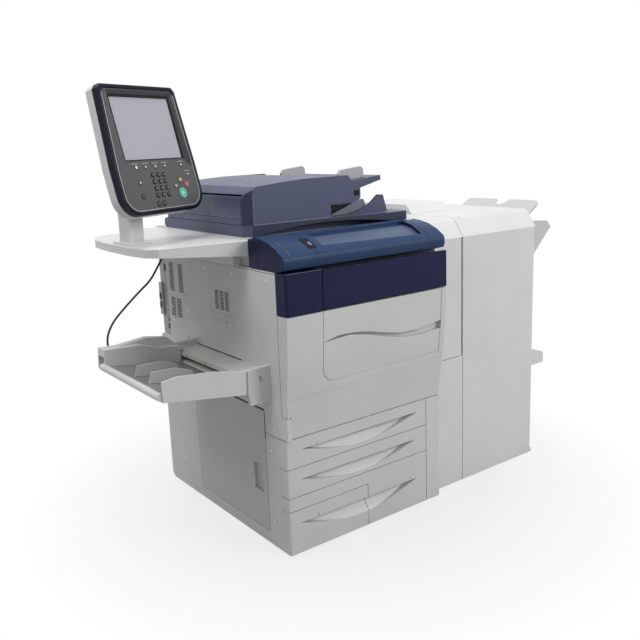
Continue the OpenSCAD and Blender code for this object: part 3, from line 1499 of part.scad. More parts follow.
// Smooth curve through the route, and a ring square to it at each step
function spline(p, t) = let (
    n = len(p) - 1, i = min(floor(t * n), n - 1), u = t * n - i,
    a = p[max(i - 1, 0)], b = p[i], c = p[i + 1], d = p[min(i + 2, n)]
) (2 * b + (c - a) * u + (2 * a - 5 * b + 4 * c - d) * u * u + (3 * b - a - 3 * c + d) * u * u * u) / 2;

function unit(v) = v / norm(v);

function ring(p, d, r) = let (side = unit(cross(d, [0, 1, 0])), up = cross(side, d)) [
    for (k = [0 : cable_sides - 1])
        p + r * (cos(360 * k / cable_sides) * side + sin(360 * k / cable_sides) * up)
];

module screen_cable() color("black") {
    path = [for (i = [0 : cable_rings]) spline(cable_route, i / cable_rings)];
    way = [for (i = [0 : cable_rings])
        unit(path[min(i + 1, cable_rings)] - path[max(i - 1, 0)])];
    points = [for (i = [0 : cable_rings]) each ring(path[i], way[i], cable_r)];
    sides = [for (i = [0 : cable_rings - 1], k = [0 : cable_sides - 1]) let (
        a = i * cable_sides + k, b = i * cable_sides + (k + 1) % cable_sides
    ) each [[a, a + cable_sides, b], [b, a + cable_sides, b + cable_sides]]];
    first = [for (k = [1 : cable_sides - 2]) [0, k, k + 1]];
    top = cable_rings * cable_sides;
    last = [for (k = [1 : cable_sides - 2]) [top, top + k + 1, top + k]];
    polyhedron(points, concat(sides, first, last));
}

module cable_glands() color("dimgray") {
    rod_z(gland_1[0], gland_1[1], gland_1[2] - gland_l, gland_1[2] - gland_l / 3, gland_r * 0.75);
    rod_z(gland_1[0], gland_1[1], gland_1[2] - gland_l / 3, gland_1[2] - fit, gland_r);
    rod_z(gland_1[0], gland_1[1], gland_1[2] - over, gland_1[2] + gland_l / 3, gland_r / 2);
    rod_x(gland_2[0] - gland_l, gland_2[0] - gland_l / 3, gland_2[1], gland_2[2], gland_r * 0.75);
    rod_x(gland_2[0] - gland_l / 3, gland_2[0] - fit, gland_2[1], gland_2[2], gland_r);
    rod_x(gland_2[0] - over, gland_2[0] + skin, gland_2[1], gland_2[2], gland_r / 2);
}

put() machine_frame();
put() left_cover();
put() right_cover();
put() rear_cover();
put() inner_panel();
put() band_corner();
put() control_top();
put() scanner_housing();
put() platen_glass();
put() front_door();
put() toner_cover();
put() tray_1_front();
put() tray_2_front();
put() tray_3_front();
put() tray_4_front();
put() tray_1_box();
put() tray_2_box();
put() tray_3_box();
put() tray_4_box();
put() side_door();
put() bypass_head();
put() bypass_tray();
put() bypass_guide_front();
put() bypass_guide_rear();
put() bypass_extension();
put() platen_cover();
put() feeder_body();
put() feeder_cover();
put() feeder_tray();
put() feeder_guide_front();
put() feeder_guide_rear();
put() exit_catch();
put() work_shelf();
put() screen_post();
put() screen_shell();
put() screen_bezel();
put() touch_glass();
put() number_keys();
put() start_key();
put() stop_key();
put() relay_frame();
put() relay_cover();
put() finisher_frame();
put() finisher_door();
put() finisher_top_cover();
put() upper_output_tray();
put() stacker_tray();
put() booklet_tray();
put() levelling_feet();
put() caster_fork_left();
put() caster_fork_right();
put() caster_wheel_1();
put() caster_wheel_2();
put() caster_wheel_3();
put() caster_wheel_4();
put() toner_cartridges();
put() drum_units();
put() fuser_rollers();
put() screen_cable();
put() cable_glands();
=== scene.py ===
"""Looks of a digital production printer around its fixed CAD frame.

Lengths are millimetres of the machine's own frame, as in the part's source: X to the right,
Y to the back, Z up. PLACE turns them into the row frame in metres.
"""
import json
import math

import bmesh
import bpy
from mathutils import Matrix, Vector

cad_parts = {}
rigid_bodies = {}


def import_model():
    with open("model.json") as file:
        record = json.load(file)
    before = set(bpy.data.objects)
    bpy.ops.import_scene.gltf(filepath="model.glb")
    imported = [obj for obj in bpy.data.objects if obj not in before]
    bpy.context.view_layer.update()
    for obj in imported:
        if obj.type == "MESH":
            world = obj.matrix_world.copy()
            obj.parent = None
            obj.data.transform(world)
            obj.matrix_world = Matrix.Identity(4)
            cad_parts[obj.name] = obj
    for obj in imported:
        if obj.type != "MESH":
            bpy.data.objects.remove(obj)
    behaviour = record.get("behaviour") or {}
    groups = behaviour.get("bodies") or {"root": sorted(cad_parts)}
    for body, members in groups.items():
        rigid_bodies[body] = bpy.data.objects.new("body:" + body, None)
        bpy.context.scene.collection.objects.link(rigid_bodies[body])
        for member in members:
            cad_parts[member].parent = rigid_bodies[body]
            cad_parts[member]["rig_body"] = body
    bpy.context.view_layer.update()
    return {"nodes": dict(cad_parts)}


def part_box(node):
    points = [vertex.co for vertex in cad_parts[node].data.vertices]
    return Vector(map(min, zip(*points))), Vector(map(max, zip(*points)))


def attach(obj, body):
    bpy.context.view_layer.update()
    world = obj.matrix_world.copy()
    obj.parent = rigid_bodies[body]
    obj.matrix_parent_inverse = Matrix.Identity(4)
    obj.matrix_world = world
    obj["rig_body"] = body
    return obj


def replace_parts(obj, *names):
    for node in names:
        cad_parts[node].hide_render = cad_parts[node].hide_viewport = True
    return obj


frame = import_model()

# Frames
MM = 0.001
ORIGIN = Vector((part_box("left_cover")[0].x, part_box("right_cover")[0].y, 0.0))
PLACE = Matrix.Translation(ORIGIN) @ Matrix.Scale(MM, 4)


def turned(x, y, z, *turns):
    """Frame at a point, turned by (axis, degrees) pairs in the order of the source."""
    m = PLACE @ Matrix.Translation((x, y, z))
    for axis, degrees in turns:
        m = m @ Matrix.Rotation(math.radians(degrees), 4, axis)
    return m


# Frames of the tilted screen and of the sloping bypass tray
ON_SCREEN = turned(-186, 364, 1289, ("Z", 24), ("X", -14))
ON_BYPASS = turned(-84, 0, 545, ("Y", 8))

# Outer faces of the source that details lie on
COVER_X = 0
CORNER_X = 12
HEAD_X = -78
HEAD_TOP = 582.2
HEAD_SLOPE = 0.0538
FEEDER_X = 14
FEEDER_Y = 172
UNIT_TOP = 960
REAR_Y = 782
ENGINE_Y = 14.5

# Other sizes of the source that details follow
Z_BED = 963
FEEDER_Z0 = 997
FEEDER_W = 438
MOUTH_X = 329.36
FIN_Y, FIN_H = 204, 56
PANEL_W, PANEL_UP, PANEL_DOWN = 352, 125.29, 248.71
CORNER_SMALL, CORNER_BIG = 12, 62
RIM_DEPTH = 19
VENTS = [(277, 367, 724, 792), (578, 684, 743, 852), (602, 684, 652, 727)]
TOP_LINE = [(-30.5, 917), (-26, 925.3), (4, 944.6), (43, 960.3), (84, 968.1), (122, 971.3)]
RELAY_X0, RELAY_X1 = 632.5, 792.5
FIN_X0, FIN_X1 = 795, 1185
TONER_R = 38
TONER_X = [127.89 + TONER_R * 1.5 + i * TONER_R * 2.9 for i in range(4)]

# Outward directions of surfaces
TO_LEFT, TO_FRONT, TO_BACK, UPWARD = (-1, 0, 0), (0, -1, 0), (0, 1, 0), (0, 0, 1)
ON_CONTROL, ON_RAMP, ON_FIN = (0, -0.3, 1), (-0.33, 0, 0.94), (-0.5, 0, 0.87)
IN_POCKET = (0, -0.4, 0.92)


def at(x, y, z):
    return PLACE @ Vector((x, y, z))


# Camera, fitted to the photograph
EYE = (-1166, -1758, 1229)
YAW, PITCH, ROLL = 36.5, 12.2, -2.2
SENSOR, LENS = 36, 43.24
SHIFT_X, SHIFT_Y = 0.0034, -0.0169
NEAR, FAR = 0.05, 60


def add_camera():
    yaw, pitch, roll = (math.radians(a) for a in (YAW, PITCH, ROLL))
    level = math.cos(pitch)
    forward = Vector((math.sin(yaw) * level, math.cos(yaw) * level, -math.sin(pitch)))
    right = forward.cross(Vector((0, 0, 1))).normalized()
    up = right.cross(forward)
    side = right * math.cos(roll) + up * math.sin(roll)
    top = up * math.cos(roll) - right * math.sin(roll)
    data = bpy.data.cameras.new("camera")
    data.sensor_width = SENSOR
    data.lens = LENS
    data.shift_x, data.shift_y = SHIFT_X, SHIFT_Y
    data.clip_start, data.clip_end = NEAR, FAR
    camera = bpy.data.objects.new("camera", data)
    bpy.context.scene.collection.objects.link(camera)
    camera.matrix_world = Matrix((side, top, -forward)).transposed().to_4x4()
    camera.location = at(*EYE)
    bpy.context.scene.camera = camera


add_camera()


# Materials
CLOUD_SCALE, SPECK_SCALE, PATCH_SCALE, SHEEN_SCALE = 5, 260, 14, 45
DUST_COLOR = (0.33, 0.3, 0.26)
DUST_SHARE = 0.1
COAT_ROUGH = 0.15
GLASS_IOR = 1.45


def node(tree, kind, inputs=(), **settings):
    n = tree.nodes.new(kind)
    for key, value in settings.items():
        setattr(n, key, value)
    for key, value in dict(inputs).items():
        n.inputs[key].default_value = value
    return n


def noise(tree, scale, detail=3.0, rough=0.5):
    coords = tree.nodes.get("coords") or node(tree, "ShaderNodeTexCoord", name="coords")
    n = node(tree, "ShaderNodeTexNoise", {"Scale": scale, "Detail": detail, "Roughness": rough})
    tree.links.new(coords.outputs["Object"], n.inputs["Vector"])
    return n.outputs["Fac"]


def spread(tree, source, low, high, start=0.3, end=0.7):
    n = node(tree, "ShaderNodeMapRange", {1: start, 2: end, 3: low, 4: high})
    tree.links.new(source, n.inputs[0])
    return n.outputs[0]


def blended(tree, factor, a, b):
    n = node(tree, "ShaderNodeMix", data_type="RGBA")
    tree.links.new(factor, n.inputs[0])
    for key, value in ((6, a), (7, b)):
        if isinstance(value, bpy.types.NodeSocket):
            tree.links.new(value, n.inputs[key])
        else:
            n.inputs[key].default_value = (*value, 1)
    return n.outputs[2]


def tint(color, share):
    return tuple(min(1.0, c * share) for c in color)


def look(name, color, rough, cloud=0.03, grain=800, bump=0.12, depth=0.0002, dust=0.0,
         metal=0.0, coat=0.0, brushed=None, specular=0.5, clear=None):
    """Moulded, painted, metal or clear surface: clouded tone, dust towards the floor, fine grain."""
    m = bpy.data.materials.new(name)
    m.use_nodes = True
    tree = m.node_tree
    shader = tree.nodes["Principled BSDF"]
    tone = blended(tree, spread(tree, noise(tree, CLOUD_SCALE, 5), 0, 1),
                   tint(color, 1 - cloud), tint(color, 1 + cloud))
    speck = blended(tree, spread(tree, noise(tree, SPECK_SCALE, 2), 0, 0.35, 0.55, 0.75),
                    tone, tint(color, 1 - 2 * cloud))
    if dust:
        coords = tree.nodes["coords"]
        split = node(tree, "ShaderNodeSeparateXYZ")
        tree.links.new(coords.outputs["Object"], split.inputs[0])
        low = spread(tree, split.outputs[2], DUST_SHARE, 0, 0.0, dust)
        patch = node(tree, "ShaderNodeMath", operation="MULTIPLY")
        tree.links.new(low, patch.inputs[0])
        tree.links.new(spread(tree, noise(tree, PATCH_SCALE, 6), 0, 1), patch.inputs[1])
        speck = blended(tree, patch.outputs[0], speck, DUST_COLOR)
    tree.links.new(speck, shader.inputs["Base Color"])
    tree.links.new(spread(tree, noise(tree, SHEEN_SCALE, 4), max(0.02, rough - 0.05), min(1, rough + 0.06)),
                   shader.inputs["Roughness"])
    shader.inputs["Metallic"].default_value = metal
    shader.inputs["Coat Weight"].default_value = coat
    shader.inputs["Coat Roughness"].default_value = COAT_ROUGH
    shader.inputs["Specular IOR Level"].default_value = specular
    height = noise(tree, grain, 2)
    if brushed:
        stretch = node(tree, "ShaderNodeMapping", {"Scale": brushed})
        tree.links.new(tree.nodes["coords"].outputs["Object"], stretch.inputs["Vector"])
        lines = node(tree, "ShaderNodeTexNoise", {"Scale": 1.0, "Detail": 3})
        tree.links.new(stretch.outputs[0], lines.inputs["Vector"])
        height = lines.outputs["Fac"]
    relief = node(tree, "ShaderNodeBump", {"Strength": bump, "Distance": depth})
    tree.links.new(height, relief.inputs["Height"])
    tree.links.new(relief.outputs[0], shader.inputs["Normal"])
    if clear is not None:
        shader.inputs["Transmission Weight"].default_value = clear
        shader.inputs["IOR"].default_value = GLASS_IOR
    return m


WHITE = look("moulded_white", (0.6, 0.6, 0.595), 0.5, dust=0.14)
# Darker copy of the moulded white for the side door: painted shade of the bypass tray above it
PAINTED_SHADE_WHITE = look("side_door_painted_shade", (0.52, 0.52, 0.515), 0.5, dust=0.14)
WHITE_TRAY = look("tray_white", (0.58, 0.58, 0.575), 0.48, dust=0.14)
WHITE_RIGHT = look("finisher_white", (0.66, 0.66, 0.665), 0.45, dust=0.14)
SHELF_WHITE = look("shelf_white", (0.64, 0.64, 0.645), 0.42)
SHEET = look("painted_sheet", (0.36, 0.36, 0.355), 0.45, bump=0.08, grain=300)
NAVY = look("navy_band", (0.01, 0.013, 0.046), 0.45, cloud=0.08, specular=0.12)
BLUE = look("control_blue", (0.013, 0.036, 0.1), 0.42, cloud=0.08, specular=0.2)
# Lighter blue for the floor of the control top's recess: painted highlight
BLUE_PAINTED_HIGHLIGHT = look("recess_painted_highlight", (0.06, 0.085, 0.15), 0.45, cloud=0.06, specular=0.3)
SLATE = look("feeder_slate", (0.055, 0.065, 0.125), 0.42, cloud=0.06, specular=0.42)
# Dark slate: the feeder chamfer's colour, and painted shade under the platen cover's lip
SLATE_DARK_AND_SHADE = look("feeder_dark_and_painted_shade", (0.024, 0.028, 0.06), 0.45, cloud=0.05, specular=0.3)
RAMP = look("ramp_grey_blue", (0.13, 0.15, 0.2), 0.4, cloud=0.05)
# Pale slate: the catch rails' colour, and a painted highlight along edges and beside seams of the blue and
# slate parts
PALE_SLATE_AND_HIGHLIGHT = look("pale_slate_and_painted_highlight", (0.2, 0.22, 0.3), 0.45, cloud=0.03)
LIGHT_GREY = look("guide_grey", (0.42, 0.42, 0.425), 0.5)
OUTPUT_GREY = look("output_grey", (0.56, 0.56, 0.57), 0.5)
FLOOR_GREY = look("tray_floor_grey", (0.2, 0.2, 0.205), 0.5)
BEZEL = look("screen_rim", (0.006, 0.006, 0.018), 0.3, cloud=0.05, specular=0.16)
FACE = look("panel_face", (0.09, 0.091, 0.094), 0.42, cloud=0.05, specular=0.3)
FACE_DARK = look("panel_margin", (0.024, 0.024, 0.028), 0.3, cloud=0.05, specular=0.3)
SILVER = look("panel_line", (0.6, 0.6, 0.64), 0.3, metal=0.5)
DARK = look("inner_dark", (0.03, 0.03, 0.032), 0.6)
BLACK = look("deep_black", (0.006, 0.006, 0.007), 0.7, specular=0.2)
SEAM = look("seam_shadow", (0.1, 0.1, 0.105), 0.8, specular=0.2)
SEAM_SOFT = look("seam_soft", (0.3, 0.3, 0.3), 0.7, specular=0.3)
# Near black blue for seams, and for the painted shade of the control top's pocket
SEAM_AND_SHADE_BLUE = look("seam_and_shade_blue", (0.003, 0.003, 0.01), 0.7, specular=0.2)
STEEL = look("zinc_steel", (0.5, 0.51, 0.53), 0.35, metal=1.0, brushed=(4, 4, 600), bump=0.15)
BRIGHT = look("bright_pin", (0.62, 0.62, 0.64), 0.25, metal=1.0, brushed=(600, 600, 20), bump=0.1)
TRAY_STEEL = look("tray_steel", (0.36, 0.37, 0.38), 0.45, metal=0.8, brushed=(3, 500, 3), bump=0.1)
GLASS = look("clear_glass", (0.8, 0.86, 0.86), 0.05, bump=0.0, clear=0.9)
DISPLAY = look("touch_film", (0.45, 0.45, 0.5), 0.35, cloud=0.01, bump=0.0, specular=0.15)
KEY = look("key_cap", (0.045, 0.045, 0.05), 0.4)
KEY_RING = look("key_ring", (0.006, 0.006, 0.007), 0.4, specular=0.2)
KEY_LIGHT = look("key_light", (0.42, 0.42, 0.43), 0.4)
LAMP = look("lamp_cap", (0.8, 0.8, 0.8), 0.3)
GREEN = look("start_green", (0.1, 0.46, 0.34), 0.35, coat=0.3)
GREEN_LIGHT = look("start_light", (0.5, 0.8, 0.72), 0.35, coat=0.3)
RED = look("stop_red", (0.5, 0.13, 0.15), 0.35, coat=0.3)
YELLOW = look("clear_yellow", (0.6, 0.46, 0.1), 0.35, coat=0.3)
LABEL = look("plain_label", (0.62, 0.6, 0.42), 0.5)
RUBBER = look("rubber", (0.025, 0.025, 0.026), 0.7, grain=500, bump=0.3)
CABLE = look("cable_jacket", (0.012, 0.012, 0.013), 0.42, grain=1500, bump=0.1)
GLAND = look("gland_nylon", (0.04, 0.04, 0.045), 0.5)
DIGIT = look("printed_grey", (0.12, 0.12, 0.13), 0.6)
DIGIT_LIGHT = look("printed_light", (0.62, 0.62, 0.65), 0.6)
FOAM = look("vent_filter", (0.012, 0.012, 0.012), 0.9, grain=400, bump=0.6, depth=0.0008, specular=0.1)
DRUM = look("drum_coat", (0.02, 0.2, 0.18), 0.12, coat=0.8, bump=0.02)
FUSER = look("fuser_sleeve", (0.3, 0.1, 0.04), 0.3, brushed=(500, 4, 500), bump=0.1)
LEVER = look("lever_green", (0.08, 0.38, 0.2), 0.4)
TONERS = [look("toner_" + n, c, 0.4) for n, c in (
    ("black", (0.02, 0.02, 0.02)), ("cyan", (0.02, 0.25, 0.5)), ("magenta", (0.5, 0.04, 0.2)),
    ("yellow", (0.7, 0.5, 0.04)))]


# Pieces
def shown(name, mesh, paint, body, smooth=32):
    """Object of a finished bmesh in the row frame, riding on its body."""
    data = bpy.data.meshes.new(name)
    mesh.to_mesh(data)
    mesh.free()
    for m in (paint if isinstance(paint, (list, tuple)) else [paint]):
        data.materials.append(m)
    data.polygons.foreach_set("use_smooth", [True] * len(data.polygons))
    data.set_sharp_from_angle(angle=math.radians(smooth))
    piece = bpy.data.objects.new(name, data)
    bpy.context.scene.collection.objects.link(piece)
    shade = piece.modifiers.new("normals", "WEIGHTED_NORMAL")
    shade.keep_sharp = True
    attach(piece, body)
    return piece


def soften(mesh, width, segments=2, angle=30):
    """Rounds the sharp edges whose neighbours leave room for it."""
    room = 2.2 * width
    edges = []
    for e in mesh.edges:
        if len(e.link_faces) != 2 or e.calc_face_angle(0) < math.radians(angle):
            continue
        tight = False
        for v in e.verts:
            for other in v.link_edges:
                if other is e or other.calc_length() > room:
                    continue
                if len(other.link_faces) == 2 and other.calc_face_angle(0) >= math.radians(angle):
                    bend = (other.other_vert(v).co - v.co).angle(v.co - e.other_vert(v).co, 0)
                    if bend < math.radians(40):
                        continue
                tight = True
        if not tight:
            edges.append(e)
    if edges:
        bmesh.ops.bevel(mesh, geom=edges, offset=width, offset_type="OFFSET", segments=segments,
                        profile=0.5, affect="EDGES", clamp_overlap=True)


def copied(name):
    """A CAD node's mesh with its triangles joined into flat faces."""
    mesh = bmesh.new()
    mesh.from_mesh(frame["nodes"][name].data)
    bmesh.ops.remove_doubles(mesh, verts=mesh.verts, dist=2e-6)
    bmesh.ops.dissolve_limit(mesh, angle_limit=math.radians(0.4), verts=mesh.verts, edges=mesh.edges)
    return mesh


def cut_mesh(mesh, place, axis, value):
    """A line of new edges where a plane of a local frame crosses the mesh."""
    turn = place.to_3x3().normalized()
    normal = turn @ Vector([float(a == axis) for a in "XYZ"])
    spot = place @ Vector([value * (a == axis) for a in "XYZ"])
    bmesh.ops.bisect_plane(mesh, geom=mesh.verts[:] + mesh.edges[:] + mesh.faces[:], dist=1e-6,
                           plane_co=spot, plane_no=normal)


def dress(name, paint, width=1.2, segments=2, where=(), cuts=(), local=PLACE):
    """A new piece in place of a CAD node, with rounded edges and its own materials."""
    mesh = copied(name)
    for axis, value in cuts:
        cut_mesh(mesh, local, axis, value)
    soften(mesh, width * MM, segments)
    looks = [paint]
    back = local.inverted()
    turn = local.to_3x3().normalized().inverted()
    for test, other in where:
        looks.append(other)
        for f in mesh.faces:
            if test(back @ f.calc_center_median(), turn @ f.normal):
                f.material_index = len(looks) - 1
    piece = shown("skin_" + name, mesh, looks, frame["nodes"][name]["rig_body"])
    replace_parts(piece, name)
    return piece


def build(name, mesh, paint, body, place=PLACE, bevel=0.0, segments=2):
    """A new detail, made in millimetres and then put in place."""
    bmesh.ops.remove_doubles(mesh, verts=mesh.verts, dist=1e-4)
    bmesh.ops.recalc_face_normals(mesh, faces=mesh.faces)
    if bevel:
        soften(mesh, bevel, segments)
    bmesh.ops.transform(mesh, matrix=place, verts=mesh.verts)
    return shown(name, mesh, paint, body)


def add_prism(mesh, outline, axis, low, high):
    """Outline swept along an axis; its points are in the other two axes, in their order."""
    def spot(p, h):
        return {"X": (h, p[0], p[1]), "Y": (p[0], h, p[1]), "Z": (p[0], p[1], h)}[axis]
    a = [mesh.verts.new(spot(p, low)) for p in outline]
    b = [mesh.verts.new(spot(p, high)) for p in outline]
    mesh.faces.new(a)
    mesh.faces.new(reversed(b))
    for i in range(len(outline)):
        j = (i + 1) % len(outline)
        mesh.faces.new((a[i], b[i], b[j], a[j]))


def add_block(mesh, x0, x1, y0, y1, z0, z1):
    add_prism(mesh, [(x0, y0), (x1, y0), (x1, y1), (x0, y1)], "Z", z0, z1)


def prism(name, outline, axis, low, high, paint, body, place=PLACE, bevel=0.0):
    mesh = bmesh.new()
    add_prism(mesh, outline, axis, low, high)
    return build(name, mesh, paint, body, place, bevel)


def blocks(name, boxes, paint, body, place=PLACE, bevel=0.0):
    mesh = bmesh.new()
    for b in boxes:
        add_block(mesh, *b)
    return build(name, mesh, paint, body, place, bevel)


def arc(cx, cy, r, start, steps):
    """Points of a quarter turn from a start angle."""
    angles = [math.radians(start + 90 * i / steps) for i in range(steps + 1)]
    return [(cx + r * math.cos(a), cy + r * math.sin(a)) for a in angles]


def round_box(x0, x1, y0, y1, r, steps=6):
    """Outline of a rectangle with round corners."""
    right, left, top, low = x1 - r, x0 + r, y1 - r, y0 + r
    return (arc(right, top, r, 0, steps) + arc(left, top, r, 90, steps)
            + arc(left, low, r, 180, steps) + arc(right, low, r, 270, steps))


def add_turned(mesh, profile, centre, axis, steps=24):
    """Profile of (radius, height) pairs turned about an axis through a centre."""
    along = {"X": Vector((1, 0, 0)), "Y": Vector((0, 1, 0)), "Z": Vector((0, 0, 1))}[axis.strip("-")]
    along = -along if axis.startswith("-") else along
    side = along.orthogonal().normalized()
    other = along.cross(side)
    centre = Vector(centre)
    rings = []
    for r, h in profile:
        if r < 1e-6:
            rings.append([mesh.verts.new(centre + along * h)])
            continue
        rings.append([mesh.verts.new(centre + along * h + (side * math.cos(t) + other * math.sin(t)) * r)
                      for t in (2 * math.pi * k / steps for k in range(steps))])
    for a, b in zip(rings, rings[1:]):
        for k in range(steps):
            j = (k + 1) % steps
            corners = [a[k % len(a)], a[j % len(a)], b[j % len(b)], b[k % len(b)]]
            unique = [v for i, v in enumerate(corners) if v not in corners[:i]]
            if len(unique) > 2:
                mesh.faces.new(unique)


def turned_pieces(name, profile, centres, axis, paint, body, place=PLACE, steps=24):
    mesh = bmesh.new()
    for c in centres:
        add_turned(mesh, profile, c, axis, steps)
    return build(name, mesh, paint, body, place)


def add_ribbon(mesh, points, up, width, lift=0.12, depth=0.3):
    """Thin closed strip laid on a surface along a line; up is the surface's outward direction."""
    points = [Vector(p) for p in points]
    up = Vector(up).normalized()
    rings = []
    for i, p in enumerate(points):
        along = (points[min(i + 1, len(points) - 1)] - points[max(i - 1, 0)]).normalized()
        side = along.cross(up).normalized() * width / 2
        rings.append([mesh.verts.new(p + side * a + up * b)
                      for a, b in ((-1, -depth), (1, -depth), (1, lift), (-1, lift))])
    for a, b in zip(rings, rings[1:]):
        for k in range(4):
            j = (k + 1) % 4
            mesh.faces.new((a[k], a[j], b[j], b[k]))
    mesh.faces.new(rings[0])
    mesh.faces.new(reversed(rings[-1]))


def ribbons(name, lines, paint, body, width, place=PLACE, lift=0.12):
    """Strips along several lines: (points, up)."""
    mesh = bmesh.new()
    for points, up in lines:
        add_ribbon(mesh, points, up, width, lift)
    return build(name, mesh, paint, body, place)


def left_line(x, *spots):
    """Line through (y, z) spots on a face that looks to the left."""
    return [(x, y, z) for y, z in spots], TO_LEFT


def front_line(y, *spots):
    """Line through (x, z) spots on a face that looks to the front."""
    return [(x, y, z) for x, z in spots], TO_FRONT


def rear_line(y, *spots):
    """Line through (x, z) spots on a face that looks to the back."""
    return [(x, y, z) for x, z in spots], TO_BACK


def flat_line(z, *spots):
    """Line through (x, y) spots on a face that looks up."""
    return [(x, y, z) for x, y in spots], UPWARD


def add_rings(mesh, outline, profile):
    """Closed band round an outline: profile of (inset, depth) pairs, outline(inset) gives X and Z."""
    loops = [[mesh.verts.new((x, y, z)) for x, z in outline(w)] for w, y in profile]
    for a, b in zip(loops, loops[1:] + loops[:1]):
        for k in range(len(a)):
            j = (k + 1) % len(a)
            mesh.faces.new((a[k], a[j], b[j], b[k]))


def screws(name, places, axis, paint, body, r=3.4, place=PLACE):
    """Screw heads with a small dimple in the middle and a rounded rim."""
    profile = [(0, 0.55), (r * 0.25, 0.55), (r * 0.3, 1.1), (r * 0.8, 1.1), (r, 0.6), (r, -0.4), (0, -0.4)]
    return turned_pieces(name, profile, places, axis, paint, body, place=place, steps=16)


def digits(name, marks, paint, body, place=PLACE, depth=0.15):
    """Plain numbers that face the front: (text, x, y, z, height)."""
    mesh = bmesh.new()
    for text, x, y, z, height in marks:
        data = bpy.data.curves.new(name, "FONT")
        data.body = text
        data.size = height * 1.4
        data.extrude = depth
        data.align_x, data.align_y = "CENTER", "CENTER"
        data.resolution_u = 3
        holder = bpy.data.objects.new(name + "_text", data)
        flat = holder.to_mesh()
        flat.transform(Matrix.Translation((x, y, z)) @ Matrix.Rotation(math.radians(90), 4, "X"))
        mesh.from_mesh(flat)
        holder.to_mesh_clear()
        bpy.data.objects.remove(holder)
    return build(name, mesh, paint, body, place)


# Cable
CABLE_ROUTE = [
    (-60, 600, 895), (-60, 600, 880), (-68, 600, 862), (-84, 600, 838), (-112, 600, 802),
    (-160, 600, 764), (-208, 600, 724), (-248, 600, 686), (-270, 600, 650), (-276, 600, 620),
    (-272, 602, 588), (-254, 606, 556), (-222, 612, 530), (-180, 620, 512), (-136, 630, 504),
    (-96, 638, 506), (-62, 640, 514), (-40, 640, 520), (-22, 640, 520),
]
CABLE_RINGS = 64
CABLE_D = 7


def route_point(points, t):
    """The source's smooth curve through its points."""
    n = len(points) - 1
    i = min(int(t * n), n - 1)
    u = t * n - i
    a, b, c, d = (Vector(points[k]) for k in (max(i - 1, 0), i, i + 1, min(i + 2, n)))
    return (2 * b + (c - a) * u + (2 * a - 5 * b + 4 * c - d) * u * u
            + (3 * b - a - 3 * c + d) * u * u * u) / 2


def add_cable():
    path = [PLACE @ route_point(CABLE_ROUTE, i / CABLE_RINGS) for i in range(CABLE_RINGS + 1)]
    data = bpy.data.curves.new("screen_cable_jacket", "CURVE")
    data.dimensions = "3D"
    data.bevel_depth = CABLE_D / 2 * MM
    data.bevel_resolution = 4
    data.use_fill_caps = True
    line = data.splines.new("POLY")
    line.points.add(len(path) - 1)
    for p, co in zip(line.points, path):
        p.co = (*co, 1)
    line.use_smooth = True
    data.materials.append(CABLE)
    jacket = bpy.data.objects.new("screen_cable_jacket", data)
    bpy.context.scene.collection.objects.link(jacket)
    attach(jacket, "machine")
    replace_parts(jacket, "screen_cable")
    glands = dress("cable_glands", GLAND, 0.5)


add_cable()


# CAD nodes as finished pieces
def top_height(y):
    """Height of the control top's outer surface at a depth."""
    for (y0, z0), (y1, z1) in zip(TOP_LINE, TOP_LINE[1:]):
        if y <= y1:
            return z0 + (z1 - z0) * (y - y0) / (y1 - y0)
    return TOP_LINE[-1][1]


def in_recess(c):
    return 157 < c.x < 567 and -14 < c.y < 86 and top_height(c.y) - 14.5 < c.z < top_height(c.y) - 1.5


def inside(low, high):
    """Test for faces whose middle lies in a box of the machine frame."""
    return lambda c, n: all(l < v < h for l, v, h in zip(low, c, high))


# Walls of the vent slots, which the left cover paints black: painted shade inside the slots
def in_vents(c, n):
    return abs(n.x) < 0.5 and any(y0 < c.y < y1 and z0 < c.z < z1 for y0, y1, z0, z1 in VENTS)


def on_top_edge(c, n):
    """Rounded edge between a front face and a top face; these faces get a painted highlight."""
    return n.z > 0.3 and n.y < -0.3


# Left cover with its vent slot walls black as painted shade
dress("left_cover", WHITE, 1.4, where=[(in_vents, BLACK)])
dress("right_cover", WHITE, 1.4)
# Side door in the darker white, as painted shade from the bypass tray
dress("side_door", PAINTED_SHADE_WHITE, 1.4)
for name in ("relay_frame", "relay_cover", "finisher_frame", "finisher_door"):
    dress(name, WHITE_RIGHT, 2.2, 3)
dress("bypass_head", WHITE, 1.4)
dress("front_door", WHITE, 1.5, 3)
dress("rear_cover", SHEET, 1.0)
dress("scanner_housing", WHITE, 1.5)
for i in range(1, 5):
    dress("tray_%d_front" % i, WHITE_TRAY, 1.5, 3)
    dress("tray_%d_box" % i, TRAY_STEEL, 0.6)
dress("finisher_top_cover", WHITE_RIGHT, 3, 4)
dress("upper_output_tray", OUTPUT_GREY, 1.5)
dress("stacker_tray", OUTPUT_GREY, 2)
dress("booklet_tray", WHITE_RIGHT, 1.5)
dress("work_shelf", SHELF_WHITE, 2.5, 4)
dress("screen_post", SHELF_WHITE, 1.5)
dress("screen_shell", SHELF_WHITE, 1.5, where=[(lambda c, n: c.y < RIM_DEPTH, BEZEL)],
      cuts=[("Y", RIM_DEPTH)], local=ON_SCREEN)
dress("screen_bezel", FACE, 0.8, where=[(lambda c, n: n.y > -0.5, BEZEL)], local=ON_SCREEN)
dress("touch_glass", DISPLAY, 0.5)
dress("start_key", GREEN, 0.8)
dress("stop_key", RED, 0.8)
# Navy band and toner cover, with a painted highlight on their rounded top edge
for name in ("band_corner", "toner_cover"):
    dress(name, NAVY, 2, where=[(on_top_edge, PALE_SLATE_AND_HIGHLIGHT)])
